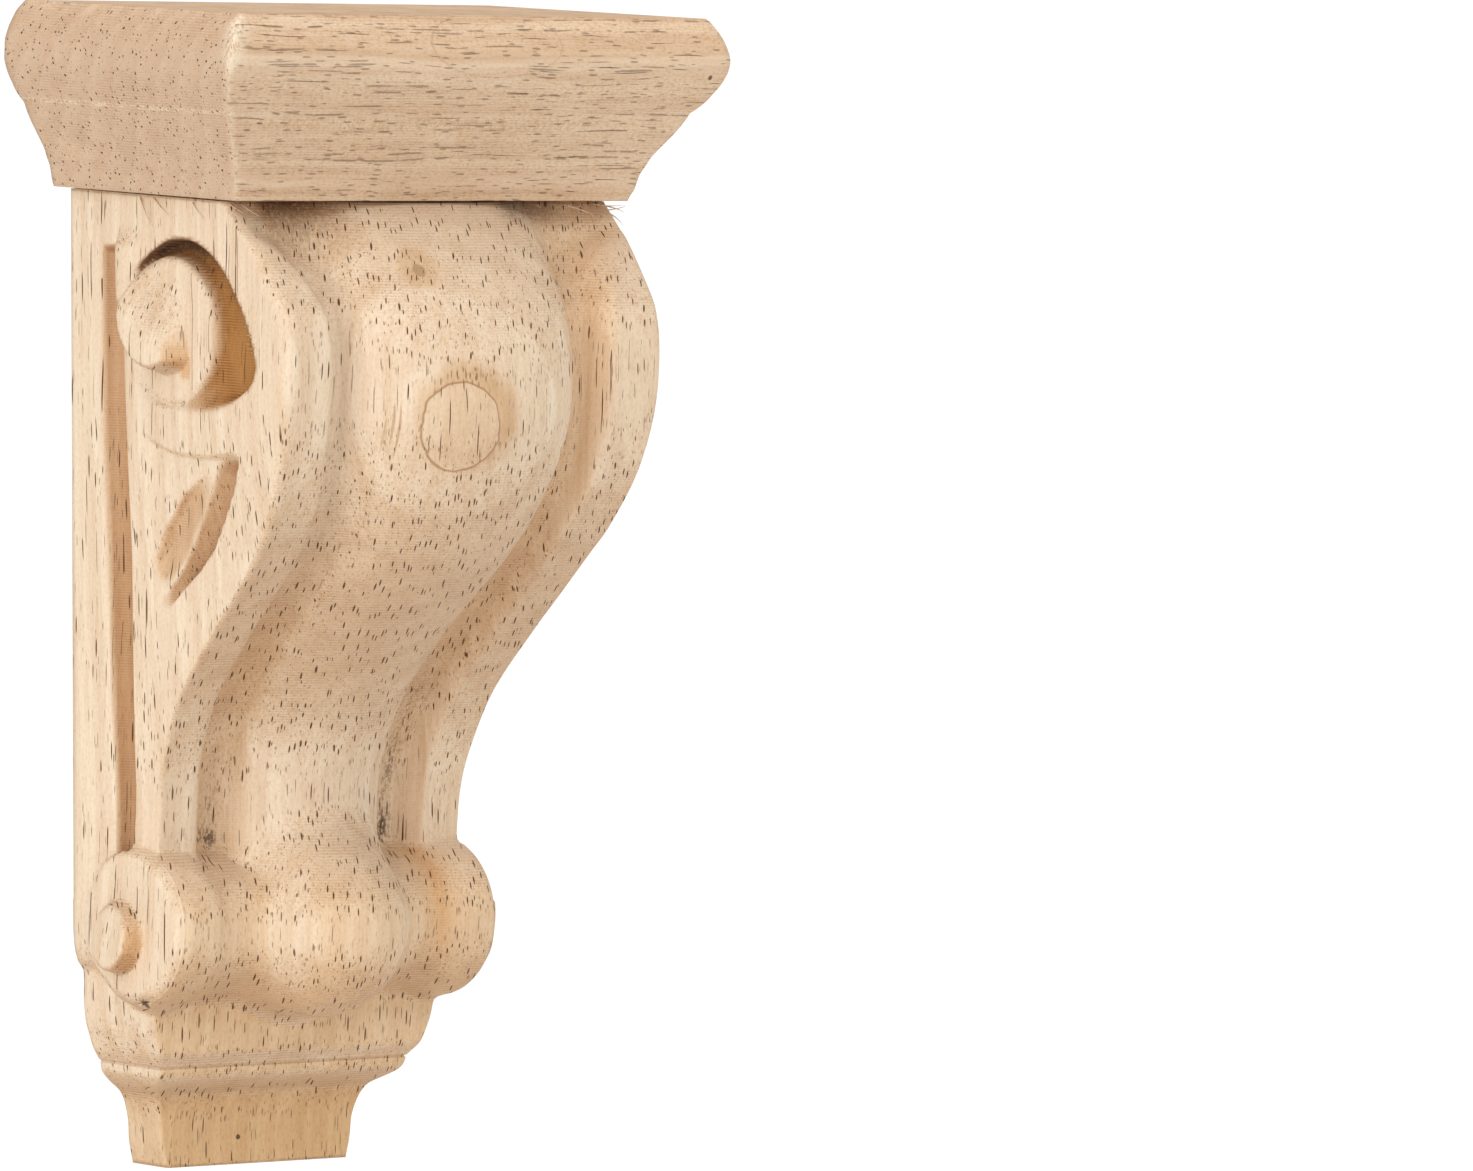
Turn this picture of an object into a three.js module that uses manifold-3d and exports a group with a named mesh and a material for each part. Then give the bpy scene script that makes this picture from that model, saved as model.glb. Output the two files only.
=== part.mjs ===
// Carved wood corbel, in millimetres. +Z is up, the wall is the plane y = 0 and the front looks along -Y.
// The origin is on the flat back, on the centre line, at half of the whole height.
import * as THREE from 'three';
import { mergeVertices } from 'three/addons/utils/BufferGeometryUtils.js';
import Module from 'manifold-3d';

const wasm = await Module();
wasm.setup();

// Whole object
const totalHeight = 180;
const capHeight = 28.5;
const glueLine = 0.3;

// Cap: the size of its underside, and how far its moulding stands out beyond that
const capSeatHalfWidth = 38;
const capSeatDepth = 45.3;
const capFlare = 11;

// Back board: half widths at its top and at the height of the lower roll
const boardTopHalfWidth = 35.5;
const boardRollHalfWidth = 30.9;

// Raised rims of the S scroll
const rimTopDepth = 40.5;
const rimBellyDepth = 54.8;
const rimNeckDepth = 18.8;
const rimTopHalfWidth = 37.4;
const rimBellyHalfWidth = 36.8;
const rimNeckHalfWidth = 29.4;
const rimBandNeck = 7.4;
const rimBandBelly = 9.3;
const rimBandTop = 0.6;
const rimFlankRun = 1.9;
const rimFlankRunTop = 5;

// Swelling between the rims
const swellTopDepth = 44.6;
const swellBellyDepth = 62.6;
const swellNeckDepth = 24.2;
const swellFootDepth = 24.6;
const swellBellyHalfWidth = 21.5;
const swellNeckHalfWidth = 14.5;
const valleyDropNeck = 3.7;
const valleyDropBelly = 5.2;
const valleyDropTop = 0.6;

// Lower roll, its ball and the bosses on its round ends
const rollRadius = 12.1;
const rollWaistRadius = 10.4;
const rollDepth = 15.5;
const rollHeight = 38.5;
const ballRadius = 14.2;
const ballDepth = 21.2;
const ballDrop = 0.2;
const bossRadius = 5.4;
const bossStandOut = 3.4;
const bossTilt = THREE.MathUtils.degToRad(15);

// Base block, ledge and foot
const baseLean = THREE.MathUtils.degToRad(4.5);
const blockHalfWidth = 28.4;
const blockDepth = 15.9;
const blockFootHeight = 28;
const ledgeHalfWidth = 24.9;
const ledgeDepth = 13.9;
const ledgeHeight = 16.3;
const ledgeStep = 0.5;
const lipHeight = 2.2;
const neckOfFootHeight = 10;
const footTopHalfWidth = 20;
const footTopDepth = 8.6;
const footHalfWidth = 17.9;
const footDepth = 8.1;

// Upright groove in each side
const grooveBackDepth = 8.2;
const grooveWidth = 5;
const grooveCut = 3;
const grooveTopBelowCap = 8.4;

// Volute in each side: the sunk pocket, the disc in it and the domed knob on the disc
const voluteDepth = 26.2;
const voluteBelowCap = 20.2;
const pocketRadius = 13.6;
const pocketCut = 3;
const pocketForward = 5.2;
const pocketLean = THREE.MathUtils.degToRad(9);
const discRadius = 10.6;
const discSink = 1.3;
const discTilt = THREE.MathUtils.degToRad(8);
const knobRadius = 7.8;
const knobHeight = 6.2;

// Leaf in each side: two pointed scoops below the volute
const leafTopBelowCap = 38.6;
const leafLength = 25;
const leafOuterDepth = 42;
const leafTipDepth = 22.4;
const leafOuterWidth = 4.2;
const leafInnerWidth = 8;
const leafCut = 2.4;
const leafBow = 2.6;

// How finely curved stretches are divided
const swellSteps = 12;
const rowStep = 3.4;
const roundSegments = 28;
const mouldingSteps = 5;
const knobSteps = 5;
const ballSteps = 7;
const capRows = 24;
const samePoint = 1e-4;

// Heights that follow from the sizes above
const top = totalHeight / 2;
const bottom = -totalHeight / 2;
const capBottom = top - capHeight;
const bodyTop = capBottom - glueLine;
const rollZ = bottom + rollHeight;
const scrollLength = bodyTop - rollZ;

// A smooth function through stations [place, value], with the slopes of a cubic spline of easy tangents
function smoothThrough(stations) {
  const slope = (i) => {
    const before = stations[Math.max(i - 1, 0)];
    const after = stations[Math.min(i + 1, stations.length - 1)];
    return (after[1] - before[1]) / (after[0] - before[0]);
  };
  return (place) => {
    const last = stations.length - 2;
    let i = 0;
    while (i < last && place > stations[i + 1][0]) i += 1;
    const [a, valueA] = stations[i];
    const [b, valueB] = stations[i + 1];
    const span = b - a;
    const t = THREE.MathUtils.clamp((place - a) / span, 0, 1);
    const rise = t * t * (3 - 2 * t);
    const leave = t * (1 - t) * (1 - t) * span * slope(i);
    const arrive = t * t * (t - 1) * span * slope(i + 1);
    return valueA + (valueB - valueA) * rise + leave + arrive;
  };
}

// Shares of the scroll's length, from the roll's axis at 0 to the top of the body at 1
const share = (z) => (z - rollZ) / scrollLength;
const between = (low, high, part) => low + (high - low) * part;

const rimDepthAt = smoothThrough([
  [0.1, rimNeckDepth],
  [0.22, between(rimNeckDepth, rimBellyDepth, 0.045)],
  [0.35, between(rimNeckDepth, rimBellyDepth, 0.24)],
  [0.5, between(rimNeckDepth, rimBellyDepth, 0.665)],
  [0.62, between(rimNeckDepth, rimBellyDepth, 0.905)],
  [0.76, rimBellyDepth],
  [0.87, between(rimTopDepth, rimBellyDepth, 0.89)],
  [0.95, between(rimTopDepth, rimBellyDepth, 0.42)],
  [1, rimTopDepth],
]);

const rimHalfWidthAt = smoothThrough([
  [0.1, rimNeckHalfWidth],
  [0.3, between(rimNeckHalfWidth, rimBellyHalfWidth, 0.2)],
  [0.5, between(rimNeckHalfWidth, rimBellyHalfWidth, 0.42)],
  [0.6, between(rimNeckHalfWidth, rimBellyHalfWidth, 0.68)],
  [0.7, rimBellyHalfWidth],
  [1, rimTopHalfWidth],
]);

const swellDepthAt = smoothThrough([
  [0.1, swellFootDepth],
  [0.18, swellNeckDepth],
  [0.29, between(swellNeckDepth, swellBellyDepth, 0.09)],
  [0.4, between(swellNeckDepth, swellBellyDepth, 0.34)],
  [0.5, between(swellNeckDepth, swellBellyDepth, 0.71)],
  [0.6, between(swellNeckDepth, swellBellyDepth, 0.91)],
  [0.71, swellBellyDepth],
  [0.81, between(swellTopDepth, swellBellyDepth, 0.91)],
  [0.92, between(swellTopDepth, swellBellyDepth, 0.55)],
  [1, swellTopDepth],
]);

const swellHalfWidthAt = smoothThrough([
  [0.1, swellNeckHalfWidth],
  [0.45, between(swellNeckHalfWidth, swellBellyHalfWidth, 0.22)],
  [0.6, between(swellNeckHalfWidth, swellBellyHalfWidth, 0.62)],
  [0.74, swellBellyHalfWidth],
  [1, swellBellyHalfWidth],
]);

// The rims' flat bands and the valleys run out under the cap
const rimBandAt = smoothThrough([
  [0.5, rimBandNeck],
  [0.75, rimBandBelly],
  [0.85, between(rimBandTop, rimBandBelly, 0.95)],
  [0.92, between(rimBandTop, rimBandBelly, 0.62)],
  [0.96, between(rimBandTop, rimBandBelly, 0.12)],
  [1, rimBandTop],
]);

const rimFlankRunAt = smoothThrough([
  [0.8, rimFlankRun],
  [0.95, between(rimFlankRun, rimFlankRunTop, 0.9)],
  [1, rimFlankRunTop],
]);

const valleyDropAt = smoothThrough([
  [0.5, valleyDropNeck],
  [0.75, valleyDropBelly],
  [0.92, valleyDropBelly],
  [0.96, between(valleyDropTop, valleyDropBelly, 0.55)],
  [1, valleyDropTop],
]);

const boardHalfWidthAt = (z) => between(boardRollHalfWidth, boardTopHalfWidth, share(z));

// The front of one section through the scroll, from its left rim to its right rim
function scrollFront(z) {
  const part = share(z);
  const rimDepth = rimDepthAt(part);
  const rimX = rimHalfWidthAt(part);
  const bandX = rimX - rimBandAt(part);
  const floorDepth = rimDepth - valleyDropAt(part);
  const flankX = bandX - rimFlankRunAt(part);
  const swellX = Math.min(swellHalfWidthAt(part), flankX - rimFlankRun / 2);
  const swellRise = swellDepthAt(part) - floorDepth;
  const left = [[rimX, rimDepth], [bandX, rimDepth], [flankX, floorDepth]];
  const front = left.map(([x, depth]) => [-x, depth]);
  for (let i = 0; i <= swellSteps; i += 1) {
    const angle = Math.PI * (1 - i / swellSteps);
    front.push([swellX * Math.cos(angle), floorDepth + swellRise * Math.sin(angle)]);
  }
  return front.concat(left.reverse());
}

// A closed ring of points: the back's left corner, the front from left to right, the back's right corner
function ringAt(z, backHalfWidth, front) {
  const ring = [new THREE.Vector3(-backHalfWidth, 0, z)];
  for (const [x, depth] of front) ring.push(new THREE.Vector3(x, -depth, z));
  ring.push(new THREE.Vector3(backHalfWidth, 0, z));
  return ring;
}

// A ring with a straight front; its sides may lean in towards the front
function plainRing(z, halfWidth, depth, count, lean = 0) {
  const frontHalf = halfWidth - depth * Math.tan(lean);
  const front = [];
  for (let i = 0; i < count; i += 1) front.push([between(-frontHalf, frontHalf, i / (count - 1)), depth]);
  return ringAt(z, halfWidth, front);
}

// A closed solid through rings of equal length, from the lowest ring to the highest
function loft(rings) {
  const count = rings[0].length;
  const positions = rings.flat().flatMap((point) => [point.x, point.y, point.z]);
  const index = [];
  for (let row = 0; row < rings.length - 1; row += 1) {
    for (let i = 0; i < count; i += 1) {
      const next = (i + 1) % count;
      const a = row * count + i;
      const b = row * count + next;
      index.push(a, b, b + count, a, b + count, a + count);
    }
  }
  const flat = (ring) => ring.map((point) => new THREE.Vector2(point.x, point.y));
  const highest = (rings.length - 1) * count;
  for (const [a, b, c] of THREE.ShapeUtils.triangulateShape(flat(rings[0]), [])) index.push(a, c, b);
  for (const [a, b, c] of THREE.ShapeUtils.triangulateShape(flat(rings[rings.length - 1]), [])) {
    index.push(highest + a, highest + b, highest + c);
  }
  const geometry = new THREE.BufferGeometry();
  geometry.setAttribute('position', new THREE.Float32BufferAttribute(positions, 3));
  geometry.setIndex(index);
  return geometry;
}

// A closed mesh as a solid, without the empty triangles that meet at the ends of a turned shape
function toSolid(geometry) {
  const plain = geometry.clone();
  plain.deleteAttribute('normal');
  plain.deleteAttribute('uv');
  const merged = mergeVertices(plain, samePoint);
  const corners = merged.index.array;
  const triangles = [];
  for (let i = 0; i < corners.length; i += 3) {
    const [a, b, c] = corners.slice(i, i + 3);
    if (a !== b && b !== c && c !== a) triangles.push(a, b, c);
  }
  const mesh = new wasm.Mesh({
    numProp: 3,
    vertProperties: new Float32Array(merged.attributes.position.array),
    triVerts: new Uint32Array(triangles),
  });
  return new wasm.Manifold(mesh);
}

function toGeometry(solid) {
  const mesh = solid.getMesh();
  const geometry = new THREE.BufferGeometry();
  geometry.setAttribute('position', new THREE.BufferAttribute(new Float32Array(mesh.vertProperties), 3));
  geometry.setIndex(new THREE.BufferAttribute(new Uint32Array(mesh.triVerts), 1));
  geometry.computeVertexNormals();
  return geometry;
}

// The board, the scroll and the base in one solid, without the roll and the carving of the sides
function scrollAndBase() {
  const rows = Math.round((bodyTop - rollZ) / rowStep);
  const frontCount = scrollFront(rollZ).length;
  const blockTop = bottom + blockFootHeight;
  const ledgeZ = bottom + ledgeHeight;
  const lipZ = ledgeZ - lipHeight;
  const footTop = bottom + neckOfFootHeight;
  const lipHalfWidth = ledgeHalfWidth - ledgeStep;
  const lipDepth = ledgeDepth - ledgeStep;
  const rings = [];
  const plain = (z, halfWidth, depth) => rings.push(plainRing(z, halfWidth, depth, frontCount, baseLean));

  plain(bottom, footHalfWidth, footDepth);
  for (let i = 0; i <= mouldingSteps; i += 1) {
    const angle = (Math.PI / 2) * (i / mouldingSteps);
    const out = 1 - Math.cos(angle);
    const z = between(footTop, lipZ, Math.sin(angle));
    plain(z, between(footTopHalfWidth, lipHalfWidth, out), between(footTopDepth, lipDepth, out));
  }
  plain(ledgeZ, lipHalfWidth, lipDepth);
  for (let i = 0; i <= mouldingSteps; i += 1) {
    const angle = (Math.PI / 2) * (i / mouldingSteps);
    const out = Math.sin(angle);
    const z = between(ledgeZ + ledgeStep, blockTop, 1 - Math.cos(angle));
    plain(z, between(ledgeHalfWidth, blockHalfWidth, out), between(ledgeDepth, blockDepth, out));
  }
  plain(rollZ - rollRadius / 2, boardRollHalfWidth, blockDepth);
  plain(rollZ, boardRollHalfWidth, blockDepth);
  for (let row = 2; row <= rows; row += 1) {
    const z = between(rollZ, bodyTop, row / rows);
    rings.push(ringAt(z, boardHalfWidthAt(z), scrollFront(z)));
  }
  return loft(rings);
}

// Stands a turned shape on the left side, looking out of it, tilted towards the wall and upwards
function ontoSide(geometry, x, depth, z, wallTilt, upTilt = 0) {
  geometry.rotateZ(Math.PI / 2 - wallTilt);
  geometry.rotateY(upTilt);
  geometry.translate(x, -depth, z);
  return geometry;
}

// A solid of revolution about its own axis, from [radius, distance along the axis] points
function turned(points) {
  const outline = points.map(([radius, along]) => new THREE.Vector2(radius, along));
  return new THREE.LatheGeometry(outline, roundSegments);
}

function domedButton(radius, height, foot, steps) {
  const points = [[0, -foot], [radius, -foot]];
  for (let i = 0; i <= steps; i += 1) {
    const angle = (Math.PI / 2) * (i / steps);
    points.push([radius * Math.cos(angle), height * Math.sin(angle)]);
  }
  points[points.length - 1][0] = 0;
  return turned(points);
}

function flatButton(radius, height, foot) {
  const bevel = radius / 12;
  const edge = [[radius, -foot], [radius, height - bevel], [radius - bevel, height]];
  return turned([[0, -foot], ...edge, [0, height]]);
}

// The roll runs from side to side, thick at its ends and thinner beside the ball
function roll() {
  const half = boardRollHalfWidth;
  const waistX = ballRadius * 1.35;
  const endX = half * 0.86;
  const steps = 16;
  const points = [[0, -half]];
  for (let i = 0; i <= steps; i += 1) {
    const x = between(-half, half, i / steps);
    const fullness = THREE.MathUtils.smoothstep(Math.abs(x), waistX, endX);
    points.push([between(rollWaistRadius, rollRadius, fullness), x]);
  }
  points.push([0, half]);
  const geometry = turned(points);
  geometry.rotateZ(-Math.PI / 2);
  geometry.translate(0, -rollDepth, rollZ);
  return geometry;
}

// The ball is half a sphere in front of a round neck, which runs straight back into the board
function ball() {
  const geometry = domedButton(ballRadius, ballRadius, ballDepth - blockDepth / 2, ballSteps);
  geometry.rotateX(Math.PI);
  geometry.translate(0, -ballDepth, rollZ - ballDrop);
  return geometry;
}

function mirrored(geometry) {
  const copy = geometry.clone().scale(-1, 1, 1);
  const corners = copy.index.array;
  for (let i = 0; i < corners.length; i += 3) {
    [corners[i + 1], corners[i + 2]] = [corners[i + 2], corners[i + 1]];
  }
  return copy;
}

// What is carved in the left side is carved in the right side as its mirror image
function bothSides(geometries) {
  const solids = geometries.flatMap((geometry) => [toSolid(geometry), toSolid(mirrored(geometry))]);
  return solids.reduce((joined, solid) => joined.add(solid));
}

// Where the left side's face lies: on the board at the back, and on the rim's edge at the front
function sideXAt(z, depth) {
  const board = boardHalfWidthAt(z);
  const part = share(z);
  const front = THREE.MathUtils.clamp(depth / rimDepthAt(part), 0, 1);
  return -between(board, rimHalfWidthAt(part), front);
}

function groove() {
  const grooveTop = bodyTop - grooveTopBelowCap;
  const length = grooveTop - rollZ;
  const geometry = new THREE.BoxGeometry(2 * grooveCut, grooveWidth, length);
  const lean = Math.atan2(boardTopHalfWidth - boardRollHalfWidth, scrollLength);
  geometry.rotateY(-lean);
  const middle = (grooveTop + rollZ) / 2;
  geometry.translate(sideXAt(middle, grooveBackDepth), -grooveBackDepth - grooveWidth / 2, middle);
  return geometry;
}

// The pocket round the volute is deepest towards the front and the top, and runs out behind and below
function pocket() {
  const z = bodyTop - voluteBelowCap;
  const depth = voluteDepth + pocketForward;
  const outside = 3 * pocketCut;
  const tool = turned([
    [0, 0],
    [pocketRadius - pocketCut / 2, 0],
    [pocketRadius, pocketCut],
    [pocketRadius, outside],
    [0, outside],
  ]);
  return ontoSide(tool, sideXAt(z, depth) + pocketCut, depth, z, -pocketLean, pocketLean);
}

function volute() {
  const z = bodyTop - voluteBelowCap;
  const x = sideXAt(z, voluteDepth);
  const foot = 2 * pocketCut;
  const disc = flatButton(discRadius, 0, foot);
  const knob = domedButton(knobRadius, knobHeight, foot, knobSteps);
  return [disc, knob].map((button) => ontoSide(button, x + discSink, voluteDepth, z, discTilt));
}

function boss() {
  const geometry = flatButton(bossRadius, bossStandOut, bossRadius / 2);
  return ontoSide(geometry, -boardRollHalfWidth, rollDepth - bossRadius / 2, rollZ, bossTilt);
}

// One pointed scoop: a boat with a V section, thin at both ends, laid along a bent line
function scoop(startDepth, endDepth, startZ, endZ, width, bow) {
  const steps = 8;
  const blunt = 0.08;
  const rings = [];
  for (let i = 0; i <= steps; i += 1) {
    const t = i / steps;
    const full = Math.max(Math.sin(Math.PI * t), blunt);
    const z = between(endZ, startZ, t);
    const depth = between(endDepth, startDepth, t) + bow * Math.sin(Math.PI * t);
    const x = sideXAt(z, depth);
    const half = (width / 2) * full;
    rings.push([
      new THREE.Vector3(x - leafCut, -depth + half * 2, z),
      new THREE.Vector3(x - leafCut, -depth - half * 2, z),
      new THREE.Vector3(x + leafCut * full, -depth, z),
    ]);
  }
  return loft(rings);
}

// The outer scoop bows forwards and the inner one, shorter and wider, bows back
function leaf() {
  const startZ = bodyTop - leafTopBelowCap;
  const endZ = startZ - leafLength;
  const innerStartDepth = between(leafOuterDepth, leafTipDepth, 0.4);
  const innerStartZ = between(startZ, endZ, 0.1);
  const innerEndZ = between(startZ, endZ, 0.8);
  return [
    scoop(leafOuterDepth, leafTipDepth, startZ, endZ, leafOuterWidth, leafBow),
    scoop(innerStartDepth, leafTipDepth, innerStartZ, innerEndZ, leafInnerWidth, -leafBow),
  ];
}

function carvedBody() {
  const cuts = bothSides([groove(), pocket(), ...leaf()]);
  const rounds = bothSides([...volute(), boss()]);
  const board = toSolid(scrollAndBase()).subtract(cuts);
  return board.add(toSolid(roll())).add(toSolid(ball())).add(rounds);
}

// Share of the flare at each share of the cap's height: a short upright, a cove and a thick round edge
const capFlareAt = smoothThrough([
  [0, 0],
  [0.08, 0.1],
  [0.17, 0.16],
  [0.3, 0.36],
  [0.46, 0.65],
  [0.5, 0.72],
  [0.57, 0.91],
  [0.66, 1],
  [0.78, 0.99],
  [0.9, 0.87],
  [0.97, 0.76],
  [1, 0.66],
]);

function cap() {
  const rings = [];
  for (let row = 0; row <= capRows; row += 1) {
    const flare = capFlare * capFlareAt(row / capRows);
    const z = between(capBottom, top, row / capRows);
    rings.push(plainRing(z, capSeatHalfWidth + flare, capSeatDepth + flare, 2));
  }
  return toSolid(loft(rings));
}

function wood(color, roughness) {
  return new THREE.MeshStandardMaterial({ color, roughness, metalness: 0, flatShading: true });
}

function piece(name, solid, material) {
  const mesh = new THREE.Mesh(toGeometry(solid), material);
  mesh.name = name;
  return mesh;
}

const corbel = new THREE.Group();
corbel.add(piece('cap', cap(), wood(0xd9bd98, 0.75)));
corbel.add(piece('carved_body', carvedBody(), wood(0xe6caa2, 0.75)));

export default corbel;
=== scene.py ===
import math
from types import SimpleNamespace

import bpy
import numpy as np
from mathutils import Matrix, Vector


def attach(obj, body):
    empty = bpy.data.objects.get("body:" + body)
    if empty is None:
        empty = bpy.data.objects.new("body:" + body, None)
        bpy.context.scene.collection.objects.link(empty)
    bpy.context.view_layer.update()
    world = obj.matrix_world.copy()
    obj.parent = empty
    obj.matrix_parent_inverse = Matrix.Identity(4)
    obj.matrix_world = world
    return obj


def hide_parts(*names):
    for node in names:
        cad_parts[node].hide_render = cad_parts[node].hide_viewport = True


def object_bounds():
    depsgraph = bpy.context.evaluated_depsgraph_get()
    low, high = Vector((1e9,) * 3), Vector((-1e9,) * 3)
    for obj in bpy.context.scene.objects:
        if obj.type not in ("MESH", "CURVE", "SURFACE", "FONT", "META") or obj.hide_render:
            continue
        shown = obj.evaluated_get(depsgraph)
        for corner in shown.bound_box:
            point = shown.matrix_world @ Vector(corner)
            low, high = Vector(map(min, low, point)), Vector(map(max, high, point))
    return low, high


# The frame: metres, +Z up, the wall at y = 0, the front towards -Y, the origin at half height on the back.
# Shapes are worked out in millimetres; depth is the distance from the wall.
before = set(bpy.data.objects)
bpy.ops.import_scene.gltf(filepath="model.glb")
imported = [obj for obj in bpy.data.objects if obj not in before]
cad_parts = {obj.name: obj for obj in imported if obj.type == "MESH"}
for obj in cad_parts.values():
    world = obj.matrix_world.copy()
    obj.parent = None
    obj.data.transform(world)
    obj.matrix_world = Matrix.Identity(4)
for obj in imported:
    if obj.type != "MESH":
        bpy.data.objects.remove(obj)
cad_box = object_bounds()
MM = 0.001

# Heights of the main parts
FOOT_Z = round(cad_box[0][2] / MM, 2)
CAP_TOP_Z = round(cad_box[1][2] / MM, 2)
CAP_BOTTOM_Z = 61.5
BODY_TOP_Z = 61.2
NECK_END_Z = -39.4
BOARD_END_Z = -48.6
BLOCK_TOP_Z = -63.9
STEP_Z = -73.75

# Step line between the block and the ledge
STEP_CUT = 0.35
STEP_WIDTH = 0.14

# Section of the scroll: softness as shares of a flank's run, then lengths
FLANK_FOOT_SOFT = 0.22
FLANK_TOP_SOFT = 0.16
SWELL_CLEAR = 0.6
SWELL_SINK = 0.4
SWELL_SOFT = 0.7

# Lower roll and ball
ROLL_DEPTH = 15.4
ROLL_Z = -51.6
ROLL_RADIUS = 12.2
ROLL_WAIST_RADIUS = 10.4
ROLL_FACE_X = 31.5
ROLL_EDGE = 2.8
ROLL_BACK_EDGE = 0.7
ROLL_RIGHT_OUT = 0.4
ROLL_RIGHT_SWELL = 0.35
BALL_DEPTH = 21.2
BALL_Z = -51.7
BALL_RADIUS = 14.2
BALL_SOFT = 4.4

# Boss on each end of the roll
BOSS_DEPTH = 12.8
BOSS_Z = -53.1
BOSS_RADIUS = 5.15
BOSS_HEIGHT = 2.7
BOSS_TILT = 0.17
BOSS_LEAN = 0.12

# Chip under the roll's left end
CHIP_DEPTH = 18.2
CHIP_Z = -63
CHIP_CUT = 1.2

# Coming in from the front: first depth, steps, and the share of the gap taken
FAR_FRONT = 44
STEPS_IN = 110
STEP_SHARE = 0.8

# Volute in each side
DISC_DEPTH = 26.2
DISC_Z = 40.8
DISC_RADIUS = 11.3
KNOB_DEPTH = 25.3
KNOB_Z = 43.3
KNOB_RADIUS = 8.8
KNOB_HEIGHT = 4.1
KNOB_FRONT = 31.3
KNOB_FRONT_RUN = 2.9
SHOULDER_HEIGHT = 1.5
INCISED_CUT = 0.45

# Groove of each side: its depth, and where it starts, bends and ends, as shares of its width
GROOVE_CUT = 3.4
GROOVE_START = -0.05
GROOVE_BEND = 0.25
GROOVE_WALL = 0.93

# Leaf of each side: how deep its three cuts go
LEAF_V_CUT = 1.7
LEAF_HOLLOW = 1.35
LEAF_LEDGE = 0.5

# Growth ring that the swelling cuts through as a closed eye: middle and half sizes
EYE_X, EYE_Z = -6.8, 28.1
EYE_HALF_X, EYE_HALF_Z = 6.9, 7.2


def smooth_through(stations):
    """A smooth function through (place, value) stations."""
    places = np.array([place for place, _ in stations], float)
    values = np.array([value for _, value in stations], float)
    order = np.arange(len(places))
    before = np.maximum(order - 1, 0)
    after = np.minimum(order + 1, len(places) - 1)
    slopes = (values[after] - values[before]) / (places[after] - places[before])

    def at(place):
        place = np.asarray(place, float)
        i = np.clip(np.searchsorted(places, place) - 1, 0, len(places) - 2)
        span = places[i + 1] - places[i]
        t = np.clip((place - places[i]) / span, 0, 1)
        rise = t * t * (3 - 2 * t)
        leave = t * (1 - t) ** 2 * span * slopes[i]
        arrive = t * t * (t - 1) * span * slopes[i + 1]
        return values[i] + (values[i + 1] - values[i]) * rise + leave + arrive

    return at


def straight_through(stations):
    """A function through (place, value) stations, straight between them."""
    places = [place for place, _ in stations]
    values = [value for _, value in stations]
    return lambda place: np.interp(place, places, values)


def ramp(value, low, high):
    """0 below low, 1 above high, smooth between."""
    t = np.clip((value - low) / (high - low), 0, 1)
    return t * t * (3 - 2 * t)


def fall(value, low, high):
    """1 below low, 0 above high, smooth between."""
    return 1 - ramp(value, low, high)


def bump(value, middle, width):
    """1 at the middle, fading away on both sides."""
    return np.exp(-((value - middle) / width) ** 2)


def soft_max(a, b, width):
    h = np.clip(0.5 + 0.5 * (a - b) / width, 0, 1)
    return b + (a - b) * h + width * h * (1 - h)


def soft_min(a, b, width):
    return -soft_max(-a, -b, width)


# Depth and half width of the rims' outer edge, from the neck up to the cap
rim_depth = smooth_through([
    (NECK_END_Z, 18.9), (-31.5, 19.3), (-25.3, 20.6), (-15.7, 25.1), (-5.9, 33.3), (0.7, 39.5), (7.2, 45.4),
    (11.2, 48.6), (19.8, 53.1), (29, 55.5), (38.1, 56), (45, 54.9), (49.2, 52.3), (56.3, 46.4),
    (BODY_TOP_Z, 40.9),
])
rim_half = smooth_through([
    (NECK_END_Z, 29.4), (-31.5, 29.6), (-25.3, 30.2), (-15.7, 31), (-5.9, 31.8), (0.7, 32.3), (7.2, 32.9),
    (11.2, 33.7), (19.8, 35.4), (29, 36.6), (38.1, 37), (45, 37), (BODY_TOP_Z, 37.2),
])

# Flat band of a rim, its inner flank, the valley beside it and its outer edge
band_width = smooth_through([
    (NECK_END_Z, 7.4), (-10, 7.5), (5, 8), (20, 8.8), (32, 9.4), (40, 9.4), (45, 8.7), (48, 7.8), (51.5, 6.2),
    (54, 4.2), (55.8, 1.8), (57, 0.3), (BODY_TOP_Z, 0),
])
valley_drop = smooth_through([
    (NECK_END_Z, 3.6), (7, 3.8), (14, 4.1), (21, 4.4), (33, 4.8), (45, 5.6), (52, 5.3), (55, 4.2), (57, 3),
    (BODY_TOP_Z, 0.5),
])
flank_run = smooth_through([(NECK_END_Z, 1.9), (38, 1.9), (46, 2.5), (52, 4), (57, 5), (BODY_TOP_Z, 5)])
edge_round = smooth_through([
    (FOOT_Z, 0.5), (-64, 0.9), (NECK_END_Z, 0.6), (-20, 0.7), (10, 1.1), (30, 2), (50, 2.4),
    (BODY_TOP_Z, 1.4),
])

# The swelling between the valleys
swell_depth = smooth_through([
    (-51.5, 26), (-38.5, 24.8), (-31, 24.2), (-24, 25.3), (-18.5, 27.5), (-12.5, 31.4), (-6.5, 37.3),
    (-2, 42.3), (2.5, 48), (7, 53), (14, 57.9), (21, 61), (28, 62.6), (33, 62.3), (39.5, 61), (45.3, 58.8),
    (52, 54.5), (57, 50), (BODY_TOP_Z, 44.8),
])
swell_half = smooth_through([
    (NECK_END_Z, 14.5), (-31, 14.5), (-18, 15), (-12, 15.5), (-2, 16), (7, 17), (14, 18.5), (21, 20),
    (27, 21), (33, 21.5), (52, 21.5), (BODY_TOP_Z, 20.6),
])

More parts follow.
